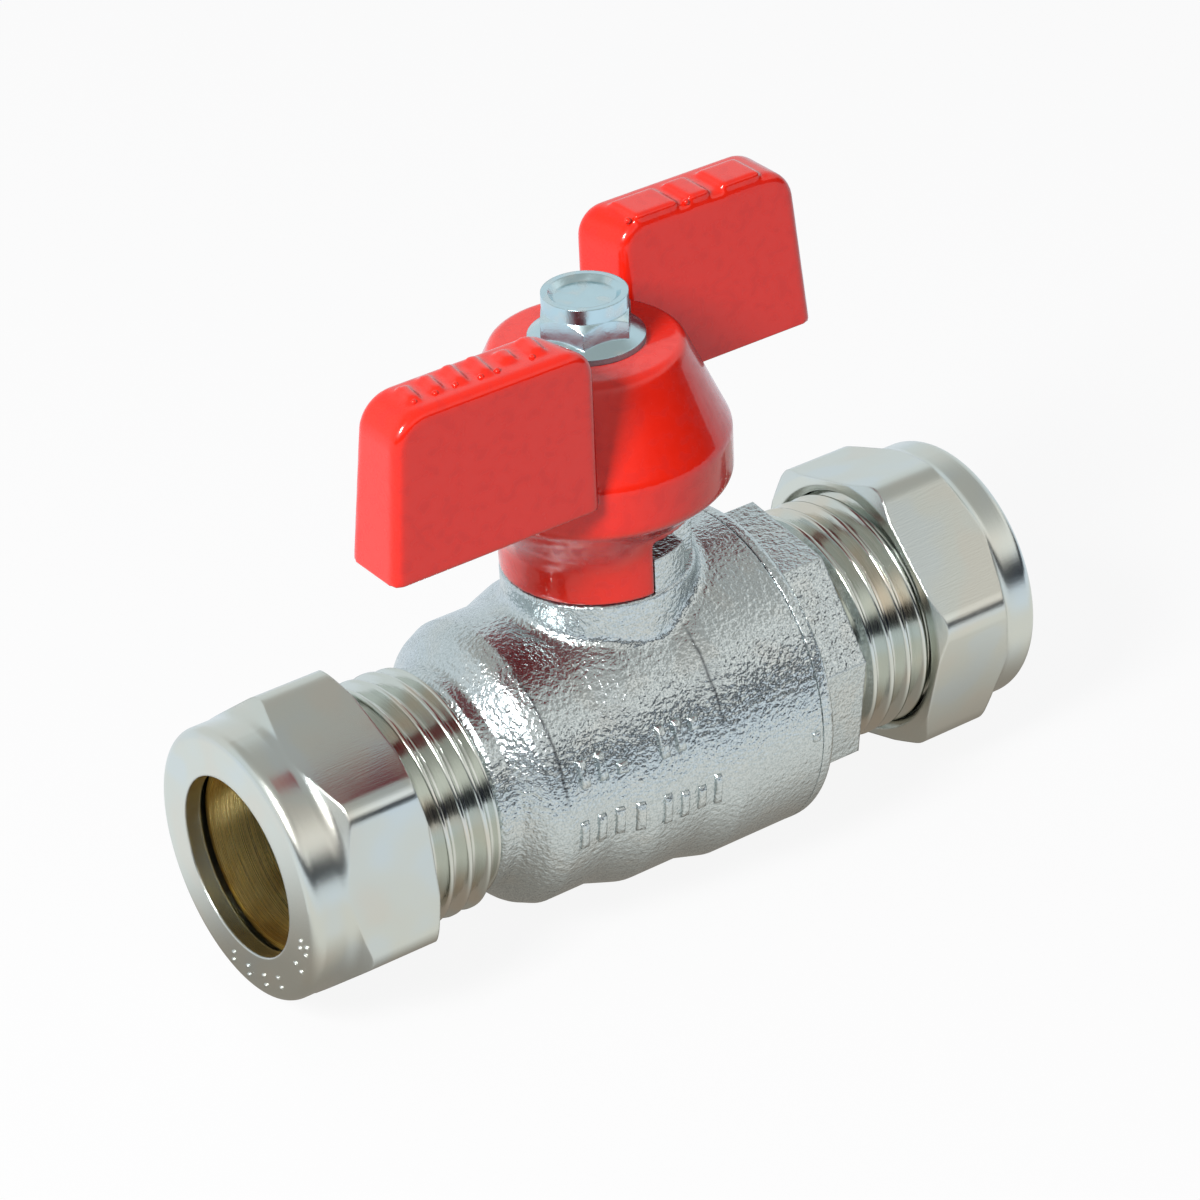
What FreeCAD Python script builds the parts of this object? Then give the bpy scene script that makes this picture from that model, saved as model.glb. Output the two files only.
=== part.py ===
"""A 15 mm compression ball valve with a butterfly handle, as a parametric document.

The pipe runs along X and the stem stands along Z. The origin is the centre of the ball.
Every length is in millimetres. The valve is drawn open, with its wings along the pipe.
"""
import FreeCAD, Part
import Sketcher
import math
import os

# Driving sizes, each with its name, its value and what it measures
SIZES = [
    ("pipe_diameter", 15.0, "outer diameter of the copper pipe"),
    ("pipe_gap", 0.05, "radial gap between the pipe and its socket"),
    ("socket_depth", 11.5, "how far the pipe goes in from a neck's end"),
    ("mouth_depth", 2.6, "depth of the cone at a neck's end that takes the olive"),
    ("mouth_angle", 30.0, "half angle of that cone"),
    ("waterway_radius", 6.0, "bore of the ball and of the passages to it"),
    ("thread_diameter", 20.9, "crest diameter of the neck threads"),
    ("thread_length", 12.3, "thread from a neck's end to its relief"),
    ("thread_chamfer", 0.9, "chamfer that starts a thread"),
    ("relief_length", 1.9, "plain groove behind a thread"),
    ("relief_depth", 0.65, "depth of that groove below the crests"),
    ("ball_diameter", 20.0, "diameter of the ball"),
    ("cavity_gap", 0.6, "radial gap between the ball and the cavity"),
    ("seat_gap", 0.05, "running gap between the ball and a seat"),
    ("seat_nose", 0.4, "how far a seat reaches past its line of contact"),
    ("seat_thickness", 3.0, "length of a seat along the pipe"),
    ("seat_wall", 3.3, "radial width of a seat's pocket beyond the waterway"),
    ("seat_relief", 0.3, "how much wider than the waterway a seat's bore is"),
    ("left_web", 8.4, "metal between the left seat's pocket and the pipe stop"),
    ("right_web", 9.6, "metal between the right seat's pocket and the pipe stop"),
    ("shoulder_length", 3.3, "length of the left shoulder's two slopes"),
    ("shoulder_round", 2.0, "rounding where the shoulder's slopes meet"),
    ("crest_length", 1.5, "length of the shoulder's upper slope"),
    ("crest_drop", 0.65, "fall of that slope below the slim part of the barrel"),
    ("left_barrel_length", 4.3, "plain length of the slim part of the barrel"),
    ("left_wall", 3.1, "metal outside the left seat's pocket"),
    ("step_length", 3.4, "length of the slope from the slim to the middle part"),
    ("step_round", 2.4, "rounding at both ends of that slope and where the next one starts"),
    ("crease_round", 0.4, "rounding of the two creases round the barrel"),
    ("middle_length", 5.2, "plain length of the barrel's middle part"),
    ("middle_wall", 2.9, "metal outside the ball's cavity"),
    ("rise_length", 3.0, "length of the slope from the middle to the wide part"),
    ("barrel_end", 12.0, "from the ball's centre to the end of the barrel"),
    ("barrel_wall", 2.8, "metal outside the connector's bore"),
    ("barrel_round", 0.15, "rounding of the barrel's open end"),
    ("spigot_step", 0.9, "how much wider than the cavity the connector's bore is"),
    ("spigot_gap", 0.05, "radial gap of the connector in the barrel"),
    ("spigot_end_gap", 0.15, "gap between the connector's front and the barrel's step"),
    ("ring_length", 1.3, "length of the connector's round ring"),
    ("ring_step", 0.02, "how far the ring stands out past the barrel"),
    ("ring_round", 0.7, "rounding of the ring's outer edge"),
    ("collar_length", 5.1, "length of the connector's octagonal collar"),
    ("collar_step", 0.95, "how far the collar's flats stand out past the thread"),
    ("collar_turn", 29.8, "turn of the collar about the pipe"),
    ("seal_width", 1.3, "thickness of the O-ring behind the connector's ring"),
    ("boss_radius", 8.05, "radius of the stem boss"),
    ("boss_rise", 1.5, "boss above the crown of the barrel's middle part"),
    ("boss_round", 0.3, "rounding of the boss's top edge"),
    ("boss_foot", 1.2, "rounding where the boss meets the barrel"),
    ("neck_radius", 5.6, "radius of the neck on the boss"),
    ("neck_height", 3.05, "height of the neck and the stop lugs"),
    ("lug_radius", 7.8, "outer radius of the two stop lugs"),
    ("lug_angle", 87.0, "sector from one lug's stop face to the other's"),
    ("lug_turn", 45.0, "turn of that sector's middle from the pipe, clockwise from above"),
    ("lug_width", 3.9, "from the stem's axis to the notch that parts the lugs"),
    ("stem_diameter", 8.0, "diameter of the stem"),
    ("stem_gap", 0.05, "radial gap of the stem in the body"),
    ("stem_collar_width", 1.0, "how far the stem's collar stands out"),
    ("stem_collar_height", 1.45, "thickness of the stem's collar"),
    ("washer_thickness", 0.5, "thickness of the thrust washer"),
    ("washer_gap", 0.05, "free play above the thrust washer"),
    ("collar_lift", 0.4, "height of the stem's collar above the ball"),
    ("tongue_thickness", 4.0, "thickness of the stem's tongue"),
    ("tongue_width", 8.0, "width of the stem's tongue"),
    ("slot_gap", 0.05, "gap on each side of the tongue in the ball"),
    ("slot_floor", 7.1, "height of the slot's floor above the pipe's axis"),
    ("tongue_play", 0.1, "gap below the tongue"),
    ("stem_seal_width", 1.25, "thickness of the stem's O-rings"),
    ("stem_seal_gap", 0.02, "gap between an O-ring and the stem's bore"),
    ("seal_room", 0.25, "how much longer than its ring a groove is"),
    ("seal_land", 0.6, "plain length of stem beside a groove"),
    ("square_flats", 6.0, "width across the flats of the stem's square"),
    ("square_round", 1.0, "rounding of the square's corners"),
    ("square_gap", 0.05, "gap on each side of the square in the handle"),
    ("underside_gap", 1.7, "hub above the neck"),
    ("hub_height", 15.25, "height of the handle's hub"),
    ("hub_top_radius", 7.8, "radius of the hub's flat top"),
    ("hub_round", 0.9, "rounding of the hub's top edge"),
    ("rim_radius", 11.4, "radius of the hub's rim"),
    ("rim_top", 7.35, "height of the rim's upper edge on the hub"),
    ("rim_bottom", 3.4, "height of the rim's lower edge on the hub"),
    ("rim_round", 1.0, "rounding of the rim's two edges"),
    ("rim_foot", 0.5, "height on the hub where its underside meets the skirt"),
    ("rim_blend", 0.45, "rounding between the hub's underside and the skirt"),
    ("skirt_gap", 0.3, "skirt above the boss"),
    ("skirt_radius", 8.05, "outer radius of the skirt"),
    ("skirt_clearance", 0.25, "radial gap of the skirt round the neck"),
    ("skirt_angle", 180.0, "sector that the skirt covers"),
    ("skirt_turn", 180.0, "turn of the skirt's middle from the pipe, clockwise from above"),
    ("wing_inner", 6.15, "from the stem's axis to a wing's inner end, on its outer face"),
    ("wing_slant", 1.35, "how much further out that end lies on the wing's inner face"),
    ("wing_reach", 25.75, "from the stem's axis to a wing's tip"),
    ("wing_lean", 1.1, "how far a tip leans inwards at the top"),
    ("wing_offset", 3.95, "from the stem's axis to a wing's inner face"),
    ("wing_thickness", 6.45, "thickness of a wing at its lower edge"),
    ("wing_draft", 1.0, "how much thinner a wing is at its top, on its inner face"),
    ("wing_bottom", 6.55, "height of a wing's lower edge on the hub"),
    ("wing_height", 14.3, "height of a wing"),
    ("wing_tip_round", 3.0, "rounding of a tip's top corner"),
    ("wing_end_round", 2.4, "rounding of the inner end's top corner"),
    ("wing_edge_round", 0.85, "rounding of a wing's edges, all but the lower ones"),
    ("screw_flats", 7.0, "width across the flats of the screw's head"),
    ("screw_turn", 52.0, "turn of the screw's head about the stem"),
    ("screw_flange", 4.75, "radius of the screw's flange"),
    ("flange_edge", 0.55, "thickness of the flange's edge"),
    ("flange_rise", 0.75, "height of the flange's slope"),
    ("head_height", 4.3, "height of the screw's head with its flange"),
    ("head_crown", 1.3, "height of the head's round crown above its flats"),
    ("head_slope", 1.15, "drop of the cone from the crown to the head's corners, per mm outwards"),
    ("dish_rim", 0.55, "width of the rim round the head's dish"),
    ("dish_depth", 0.45, "depth of the dish in the head"),
    ("screw_thread", 4.0, "thread diameter of the screw"),
    ("screw_gap", 0.05, "radial gap between the screw and the stem's tapping"),
    ("screw_length", 9.5, "length of the screw below its flange"),
    ("stem_recess", 0.6, "stem's end below the hub's top"),
    ("tap_spare", 1.2, "tapped depth beyond the screw's end"),
    ("nut_wall", 1.23, "metal between a nut's thread and its flats"),
    ("nut_corner_round", 2.4, "rounding of a nut's long edges"),
    ("nut_chamfer", 0.8, "length of the chamfer at a nut's threaded end"),
    ("nut_chamfer_drop", 1.45, "depth of that chamfer at the corners"),
    ("nut_nose_length", 3.5, "length of a nut's round nose"),
    ("nut_nose_wall", 1.13, "metal between a nut's thread and its round nose"),
    ("nut_nose_round", 0.9, "rounding of the nose's edge"),
    ("nut_waist_round", 1.3, "rounding where the hexagon runs into the nose"),
    ("nut_corner_slope", 1.3, "length over which the hexagon runs into the nose"),
    ("nut_lip", 1.4, "length of the hole's plain edge"),
    ("nut_hole_gap", 0.25, "radial gap between the pipe and a nut's hole"),
    ("nut_cone_length", 1.5, "length of a nut's inner cone"),
    ("nut_cone_flare", 1.9, "how much the inner cone opens the hole's radius"),
    ("nut_thread_gap", 0.07, "radial gap between a nut and the thread's crests"),
    ("nut_entry", 0.6, "chamfer at the mouth of a nut's thread"),
    ("nut_length", 11.3, "length of a compression nut"),
    ("nut_left_grip", 4.8, "length of thread that the left nut covers"),
    ("nut_right_grip", 4.8, "length of thread that the right nut covers"),
    ("nut_left_turn", 21.0, "turn of the left nut about the pipe"),
    ("nut_right_turn", 44.5, "turn of the right nut about the pipe"),
    ("olive_seat_gap", 0.05, "gap between an olive and its cone"),
    ("olive_inside", 1.15, "length of an olive inside the neck"),
    ("olive_outside", 4.35, "length of an olive outside the neck"),
    ("olive_wall", 1.4, "wall of an olive at its crest"),
    ("olive_edge", 0.55, "wall of an olive at its outer end"),
    ("olive_slope", 1.3, "length of an olive's slope to its outer end"),
]

document = FreeCAD.newDocument("compression_ball_valve")
sheet = document.addObject("Spreadsheet::Sheet", "Sizes")


class Size:
    """A length or an angle that keeps both its value and the formula it comes from."""

    def __init__(self, value, formula=None):
        self.value = float(value)
        self.formula = formula if formula is not None else repr(float(value))

    @staticmethod
    def of(other):
        return other if isinstance(other, Size) else Size(other)

    def __add__(self, other):
        other = Size.of(other)
        return Size(self.value + other.value, f"({self.formula} + {other.formula})")

    def __sub__(self, other):
        other = Size.of(other)
        return Size(self.value - other.value, f"({self.formula} - {other.formula})")

    def __mul__(self, other):
        other = Size.of(other)
        return Size(self.value * other.value, f"({self.formula} * {other.formula})")

    def __truediv__(self, other):
        other = Size.of(other)
        return Size(self.value / other.value, f"({self.formula} / {other.formula})")

    def __neg__(self):
        return Size(-self.value, f"(-1 * {self.formula})")


def cosine(angle):
    return Size(math.cos(math.radians(angle.value)), f"cos({angle.formula} * 1deg)")


def sine(angle):
    return Size(math.sin(math.radians(angle.value)), f"sin({angle.formula} * 1deg)")


def read_sizes():
    """Fill the sheet and return its sizes by name."""
    sizes = {}
    for row, (name, value, note) in enumerate(SIZES, start=1):
        sheet.set(f"A{row}", name)
        sheet.set(f"B{row}", str(value))
        sheet.set(f"C{row}", note)
        sheet.setAlias(f"B{row}", name)
        sizes[name] = Size(value, f"Sizes.{name}")
    document.recompute()
    return sizes


D = read_sizes()
ZERO = Size(0)
SQUARE_TURN = Size(45)
DIAGONAL = Size(math.sqrt(2))
CORNER = Size(2 / math.sqrt(3))
LEAST = 1e-5

# Radii that follow from the driving sizes
socket_radius = D["pipe_diameter"] / 2 + D["pipe_gap"]
mouth_slope = sine(D["mouth_angle"]) / cosine(D["mouth_angle"])
mouth_radius = socket_radius + D["mouth_depth"] * mouth_slope
thread_radius = D["thread_diameter"] / 2
relief_radius = thread_radius - D["relief_depth"]
ball_radius = D["ball_diameter"] / 2
cavity_radius = ball_radius + D["cavity_gap"]
pocket_radius = D["waterway_radius"] + D["seat_wall"]
seat_bore = D["waterway_radius"] + D["seat_relief"]
left_radius = pocket_radius + D["left_wall"]
middle_radius = cavity_radius + D["middle_wall"]
connector_bore = cavity_radius + D["spigot_step"]
right_radius = connector_bore + D["barrel_wall"]
ring_radius = right_radius + D["ring_step"]
seal_floor = connector_bore - D["seal_width"]
stem_radius = D["stem_diameter"] / 2
stem_bore = stem_radius + D["stem_gap"]
stem_collar_radius = stem_radius + D["stem_collar_width"]
nut_hole = D["pipe_diameter"] / 2 + D["nut_hole_gap"]
nut_thread_radius = thread_radius + D["nut_thread_gap"]
nut_nose_radius = nut_thread_radius + D["nut_nose_wall"]
nut_flats = (nut_thread_radius + D["nut_wall"]) * 2
collar_flats = (thread_radius + D["collar_step"]) * 2

# Places along the pipe, as distances from the ball's centre
seat_contact = (ball_radius + D["seat_gap"]) * DIAGONAL
seat_front = seat_contact / 2 - D["seat_nose"]
seat_floor = seat_front + D["seat_thickness"]
left_stop = seat_floor + D["left_web"]
left_end = left_stop + D["socket_depth"]
right_stop = seat_floor + D["right_web"]
right_end = right_stop + D["socket_depth"]
left_thread_end = left_end - D["thread_length"]
shoulder_foot = left_thread_end - D["relief_length"]
shoulder_top = shoulder_foot - D["shoulder_length"]
shoulder_crest = shoulder_top + D["crest_length"]
step_start = shoulder_top - D["left_barrel_length"]
step_end = step_start - D["step_length"]
rise_start = D["middle_length"] - step_end
rise_end = rise_start + D["rise_length"]
ring_end = D["barrel_end"] + D["ring_length"]
connector_front = seat_front + D["spigot_end_gap"]

# Heights on the stem's axis
boss_top = middle_radius + D["boss_rise"]
neck_top = boss_top + D["neck_height"]
stem_collar_bottom = ball_radius + D["collar_lift"]
stem_collar_top = stem_collar_bottom + D["stem_collar_height"]
washer_top = stem_collar_top + D["washer_thickness"]
washer_seat = washer_top + D["washer_gap"]
tongue_bottom = D["slot_floor"] + D["tongue_play"]
groove_length = D["stem_seal_width"] + D["seal_room"]
groove_floor = stem_radius - D["stem_seal_width"] + D["stem_gap"] - D["stem_seal_gap"]
lower_groove = washer_seat + D["seal_land"]
upper_groove = lower_groove + groove_length + D["seal_land"]
hub_bottom = neck_top + D["underside_gap"]
hub_top = hub_bottom + D["hub_height"]
stem_top = hub_top - D["stem_recess"]
skirt_bottom = boss_top + D["skirt_gap"]
wing_bottom = hub_bottom + D["wing_bottom"]
wing_top = wing_bottom + D["wing_height"]
head_top = hub_top + D["head_height"]
screw_end = hub_top - D["screw_length"]


def bind(thing, path, size):
    """Tie one property of an object to the sheet."""
    thing.setExpression(path, size.formula)


def new_body(name):
    body = document.addObject("PartDesign::Body", name)
    body.Label = name
    return body


def new_sketch(body, name, plane, offset=None):
    """A sketch on one of the body's own planes, moved along the plane's normal."""
    sketch = body.newObject("Sketcher::SketchObject", name)
    origin_plane = next(f for f in body.Origin.OriginFeatures if f.Role == plane)
    sketch.AttachmentSupport = (origin_plane, "")
    sketch.MapMode = "FlatFace"
    if offset is not None:
        bind(sketch, "AttachmentOffset.Base.z", offset)
    return sketch


def fix_point(sketch, number, x, y):
    """Tie a construction point to its two coordinates."""
    rules = []
    for axis, across, size in (("DistanceX", -2, x), ("DistanceY", -1, y)):
        if size is ZERO:
            rules.append((Sketcher.Constraint("PointOnObject", number, 1, across), None))
        else:
            rule = Sketcher.Constraint(axis, -1, 1, number, 1, size.value)
            rules.append((rule, size))
    for rule, size in rules:
        index = sketch.addConstraint(rule)
        if size is not None:
            bind(sketch, f"Constraints[{index}]", size)


def rounded_corner(before, corner, after, radius):
    """Where a round of this radius meets the two sides, and its centre."""
    first = (before - corner).normalize()
    second = (after - corner).normalize()
    half = first.getAngle(second) / 2
    reach = radius / math.tan(half)
    middle = (first + second).normalize()
    centre = corner + middle * (radius / math.sin(half))
    return corner + first * reach, corner + second * reach, centre


def arc_between(start, end, centre, radius):
    """The short arc from one point to another, and whether it runs forwards."""
    turn = (start - centre).cross(end - centre).z
    circle = Part.Circle(centre, FreeCAD.Vector(0, 0, 1), radius)
    angle_a = math.atan2(start.y - centre.y, start.x - centre.x)
    angle_b = math.atan2(end.y - centre.y, end.x - centre.x)
    if turn > 0:
        return Part.ArcOfCircle(circle, angle_a, angle_b), True
    return Part.ArcOfCircle(circle, angle_b, angle_a), False


def outline(sketch, corners):
    """Closed outline through the corners. A third size in a corner rounds it."""
    count = len(corners)
    spots = [FreeCAD.Vector(c[0].value, c[1].value, 0) for c in corners]
    for number, spot in enumerate(spots):
        sketch.addGeometry(Part.Point(spot), True)
        fix_point(sketch, number, corners[number][0], corners[number][1])
    entries = []
    for number, corner in enumerate(corners):
        if len(corner) < 3:
            entries.append((spots[number], spots[number], None))
            continue
        before = spots[number - 1]
        after = spots[(number + 1) % count]
        entries.append(rounded_corner(before, spots[number], after, corner[2].value))
    rules = []
    for number in range(count):
        following = (number + 1) % count
        side = Part.LineSegment(entries[number][1], entries[following][0])
        line = sketch.addGeometry(side, False)
        for spot_number, line_end in ((number, 1), (following, 2)):
            if entries[spot_number][2] is None:
                rules.append(("Coincident", line, line_end, spot_number, 1))
            else:
                rules.append(("PointOnObject", spot_number, 1, line))
    for rule in rules:
        sketch.addConstraint(Sketcher.Constraint(*rule))
    for number, (start, end, centre) in enumerate(entries):
        if centre is None:
            continue
        radius = corners[number][2]
        arc, forwards = arc_between(start, end, centre, radius.value)
        arc_number = sketch.addGeometry(arc, False)
        line_before = count + (number - 1) % count
        line_after = count + number
        first_end, last_end = (1, 2) if forwards else (2, 1)
        sketch.addConstraint(Sketcher.Constraint("Tangent", line_before, 2, arc_number, first_end))
        sketch.addConstraint(Sketcher.Constraint("Tangent", line_after, 1, arc_number, last_end))
        index = sketch.addConstraint(Sketcher.Constraint("Radius", arc_number, radius.value))
        bind(sketch, f"Constraints[{index}]", radius)
    return sketch


def disc(sketch, x, y, radius):
    """A circle whose centre and radius are tied to the sheet."""
    centre = FreeCAD.Vector(x.value, y.value, 0)
    sketch.addGeometry(Part.Point(centre), True)
    fix_point(sketch, 0, x, y)
    circle = Part.Circle(centre, FreeCAD.Vector(0, 0, 1), radius.value)
    number = sketch.addGeometry(circle, False)
    sketch.addConstraint(Sketcher.Constraint("Coincident", number, 3, 0, 1))
    index = sketch.addConstraint(Sketcher.Constraint("Radius", number, radius.value))
    bind(sketch, f"Constraints[{index}]", radius)
    return sketch


def turned(body, kind, name, axis, corners=None, ring=None, sector=None, sector_turn=None):
    """A solid or a groove turned about the pipe's axis (H) or the stem's axis (V)."""
    sketch = new_sketch(body, f"{name}_outline", "XZ_Plane")
    if sector_turn is not None:
        sketch.AttachmentOffset = FreeCAD.Placement(
            FreeCAD.Vector(), FreeCAD.Rotation(FreeCAD.Vector(0, -1, 0), sector_turn.value))
        bind(sketch, "AttachmentOffset.Rotation.Angle", sector_turn)
    if ring is not None:
        disc(sketch, *ring)
    else:
        outline(sketch, corners)
    feature = body.newObject(f"PartDesign::{kind}", name)
    feature.Profile = (sketch, [""])
    feature.ReferenceAxis = (sketch, [f"{axis}_Axis"])
    feature.Angle = 360.0
    if sector is not None:
        feature.Midplane = True
        bind(feature, "Angle", sector)
    return feature


def extruded(body, kind, name, sketch, length=None, symmetric=False, reverse=False):
    """A pad, or a pocket of a stated length or through everything."""
    feature = body.newObject(f"PartDesign::{kind}", name)
    feature.Profile = (sketch, [""])
    if symmetric:
        feature.SideType = "Symmetric"
    feature.Reversed = reverse
    if length is None:
        feature.Type = "ThroughAll"
    else:
        feature.Type = "Length"
        bind(feature, "Length", length)
    return feature


def rounded(body, name, edge_names, radius):
    """Round some edges of the last feature."""
    document.recompute()
    base = body.Tip
    rounding = body.newObject("PartDesign::Fillet", name)
    rounding.Base = (base, edge_names(base.Shape))
    bind(rounding, "Radius", radius)
    document.recompute()


def edges_where(shape, test):
    """Names of the edges whose ends all pass a test on their place."""
    return [
        f"Edge{number}" for number, edge in enumerate(shape.Edges, start=1)
        if all(test(vertex.Point) for vertex in edge.Vertexes)
    ]


def regular_corners(flats, sides, turn, rounding=None):
    """Corners of a regular polygon of this width across its flats."""
    half_side = Size(180 / sides)
    radius = flats / 2 / cosine(half_side)
    corners = []
    for number in range(sides):
        angle = turn + Size(number * 360 / sides)
        corner = [radius * cosine(angle), radius * sine(angle)]
        if rounding is not None:
            corner.append(rounding)
        corners.append(tuple(corner))
    return corners


def box_corners(left, right, bottom, top):
    return [(left, bottom), (right, bottom), (right, top), (left, top)]


def boss_foot_edges(shape):
    """The edges where the boss's wall meets the barrel."""
    wall = D["boss_radius"].value
    highest = boss_top.value - D["boss_round"].value - LEAST

    def test(spot):
        return abs(math.hypot(spot.x, spot.y) - wall) < LEAST and spot.z < highest
    return edges_where(shape, test)


def valve_body():
    """The forged body: threaded neck, stepped barrel, stem boss and two stop lugs."""
    body = new_body("valve_body")
    turned(body, "Revolution", "barrel", "H", [
        (-left_end, ZERO),
        (-left_end, thread_radius - D["thread_chamfer"]),
        (D["thread_chamfer"] - left_end, thread_radius),
        (-left_thread_end, thread_radius),
        (D["relief_depth"] - left_thread_end, relief_radius),
        (-shoulder_foot, relief_radius, D["relief_depth"]),
        (-shoulder_crest, left_radius - D["crest_drop"], D["shoulder_round"]),
        (-shoulder_top, left_radius, D["crease_round"]),
        (-step_start, left_radius, D["step_round"]),
        (-step_end, middle_radius, D["step_round"]),
        (rise_start, middle_radius, D["step_round"]),
        (rise_end, right_radius, D["crease_round"]),
        (D["barrel_end"], right_radius, D["barrel_round"]),
        (D["barrel_end"], ZERO),
    ])
    turned(body, "Revolution", "boss", "V", [
        (ZERO, D["slot_floor"]),
        (D["boss_radius"], D["slot_floor"]),
        (D["boss_radius"], boss_top, D["boss_round"]),
        (ZERO, boss_top),
    ])
    rounded(body, "boss_foot", boss_foot_edges, D["boss_foot"])
    turned(body, "Revolution", "stop_lugs", "V", box_corners(
        stem_collar_radius, D["lug_radius"], washer_seat, neck_top,
    ), sector=D["lug_angle"], sector_turn=D["lug_turn"])
    notch = outline(new_sketch(body, "lug_notch_outline", "XY_Plane", neck_top), box_corners(
        D["lug_width"], D["lug_radius"] * 2, -D["lug_radius"] * 2, -D["lug_width"]))
    extruded(body, "Pocket", "lug_notch", notch, D["neck_height"])
    turned(body, "Revolution", "neck", "V", [
        (ZERO, D["slot_floor"]),
        (D["neck_radius"], D["slot_floor"]),
        (D["neck_radius"], neck_top),
        (ZERO, neck_top),
    ])
    turned(body, "Groove", "passage", "H", [
        (-left_end, ZERO),
        (-left_end, mouth_radius),
        (D["mouth_depth"] - left_end, socket_radius),
        (-left_stop, socket_radius),
        (-left_stop, D["waterway_radius"]),
        (-seat_floor, D["waterway_radius"]),
        (-seat_floor, pocket_radius),
        (-seat_front, pocket_radius),
        (-seat_front, cavity_radius),
        (seat_front, cavity_radius),
        (seat_front, connector_bore),
        (D["barrel_end"], connector_bore),
        (D["barrel_end"], ZERO),
    ])
    turned(body, "Groove", "stem_passage", "V", [
        (ZERO, ZERO),
        (stem_collar_radius + D["stem_gap"], ZERO),
        (stem_collar_radius + D["stem_gap"], washer_seat),
        (stem_bore, washer_seat),
        (stem_bore, neck_top),
        (ZERO, neck_top),
    ])
    return body


def end_connector():
    """The turned connector: spigot, round ring, octagonal collar and threaded neck."""
    body = new_body("end_connector")
    turned(body, "Revolution", "connector_core", "H", [
        (connector_front, ZERO),
        (connector_front, connector_bore - D["spigot_gap"]),
        (D["barrel_end"] - D["seal_width"] - D["seal_room"], connector_bore - D["spigot_gap"]),
        (D["barrel_end"] - D["seal_width"] - D["seal_room"], seal_floor),
        (D["barrel_end"], seal_floor),
        (D["barrel_end"], ring_radius),
        (ring_end, ring_radius, D["ring_round"]),
        (ring_end, relief_radius),
        (right_end - D["thread_length"] + D["relief_depth"], relief_radius),
        (right_end - D["thread_length"] + D["relief_depth"] * 2, thread_radius),
        (right_end - D["thread_chamfer"], thread_radius),
        (right_end, thread_radius - D["thread_chamfer"]),
        (right_end, ZERO),
    ])
    collar = new_sketch(body, "collar_outline", "YZ_Plane", ring_end)
    outline(collar, regular_corners(collar_flats, 8, D["collar_turn"]))
    extruded(body, "Pad", "collar", collar, D["collar_length"])
    turned(body, "Groove", "passage", "H", [
        (connector_front, ZERO),
        (connector_front, pocket_radius),
        (seat_floor, pocket_radius),
        (seat_floor, D["waterway_radius"]),
        (right_stop, D["waterway_radius"]),
        (right_stop, socket_radius),
        (right_end - D["mouth_depth"], socket_radius),
        (right_end, mouth_radius),
        (right_end, ZERO),
    ])
    return body


def connector_seal():
    body = new_body("connector_seal")
    thickness = D["seal_width"] / 2
    turned(body, "Revolution", "ring", "H", ring=(
        D["barrel_end"] - thickness, seal_floor + thickness, thickness))
    return body


def seat(name, side):
    """A seat ring with the cone that the ball turns against."""
    body = new_body(name)
    rim = pocket_radius - D["seat_gap"]
    turned(body, "Revolution", "ring", "H", [
        (seat_floor * side, seat_bore),
        (seat_floor * side, rim),
        (seat_front * side, rim),
        (seat_front * side, seat_contact - seat_front),
        ((seat_contact - seat_bore) * side, seat_bore),
    ])
    return body


def ball():
    """The bored ball, with the slot for the stem's tongue across its bore."""
    body = new_body("ball")
    sphere = body.newObject("PartDesign::AdditiveSphere", "sphere")
    bind(sphere, "Radius", ball_radius)
    document.recompute()
    bore = disc(new_sketch(body, "bore_outline", "YZ_Plane"), ZERO, ZERO, D["waterway_radius"])
    extruded(body, "Pocket", "bore", bore, D["ball_diameter"] * 2, symmetric=True)
    slot_half = D["tongue_thickness"] / 2 + D["slot_gap"]
    slot = outline(new_sketch(body, "slot_outline", "XZ_Plane"), box_corners(
        -slot_half, slot_half, D["slot_floor"], D["ball_diameter"]))
    extruded(body, "Pocket", "slot", slot, D["ball_diameter"] * 2, symmetric=True)
    return body


def stem():
    """The stem: tongue, collar, two ring grooves, square and tapped end."""
    body = new_body("stem")
    turned(body, "Revolution", "shaft", "V", [
        (ZERO, stem_collar_bottom),
        (stem_collar_radius, stem_collar_bottom),
        (stem_collar_radius, stem_collar_top),
        (stem_radius, stem_collar_top),
        (stem_radius, lower_groove),
        (groove_floor, lower_groove),
        (groove_floor, lower_groove + groove_length),
        (stem_radius, lower_groove + groove_length),
        (stem_radius, upper_groove),
        (groove_floor, upper_groove),
        (groove_floor, upper_groove + groove_length),
        (stem_radius, upper_groove + groove_length),
        (stem_radius, hub_bottom),
        (ZERO, hub_bottom),
    ])
    tongue_half = D["tongue_width"] / 2
    tongue = outline(new_sketch(body, "tongue_outline", "YZ_Plane"), box_corners(
        -tongue_half, tongue_half, tongue_bottom, stem_collar_top))
    extruded(body, "Pad", "tongue", tongue, D["tongue_thickness"], symmetric=True)
    square = new_sketch(body, "square_outline", "XY_Plane", hub_bottom)
    outline(square, regular_corners(D["square_flats"], 4, SQUARE_TURN, D["square_round"]))
    extruded(body, "Pad", "square", square, stem_top - hub_bottom)
    tapping = new_sketch(body, "tapping_outline", "XY_Plane", screw_end - D["tap_spare"])
    disc(tapping, ZERO, ZERO, D["screw_thread"] / 2 + D["screw_gap"])
    extruded(body, "Pocket", "tapping", tapping, D["screw_length"] + D["tap_spare"], reverse=True)
    return body


def stem_thrust_washer():
    body = new_body("stem_thrust_washer")
    turned(body, "Revolution", "ring", "V", box_corners(
        stem_bore, stem_collar_radius, stem_collar_top, washer_top))
    return body


def stem_seal(name, groove):
    body = new_body(name)
    thickness = D["stem_seal_width"] / 2
    turned(body, "Revolution", "ring", "V", ring=(
        groove_floor + thickness, groove + groove_length / 2, thickness))
    return body


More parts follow.
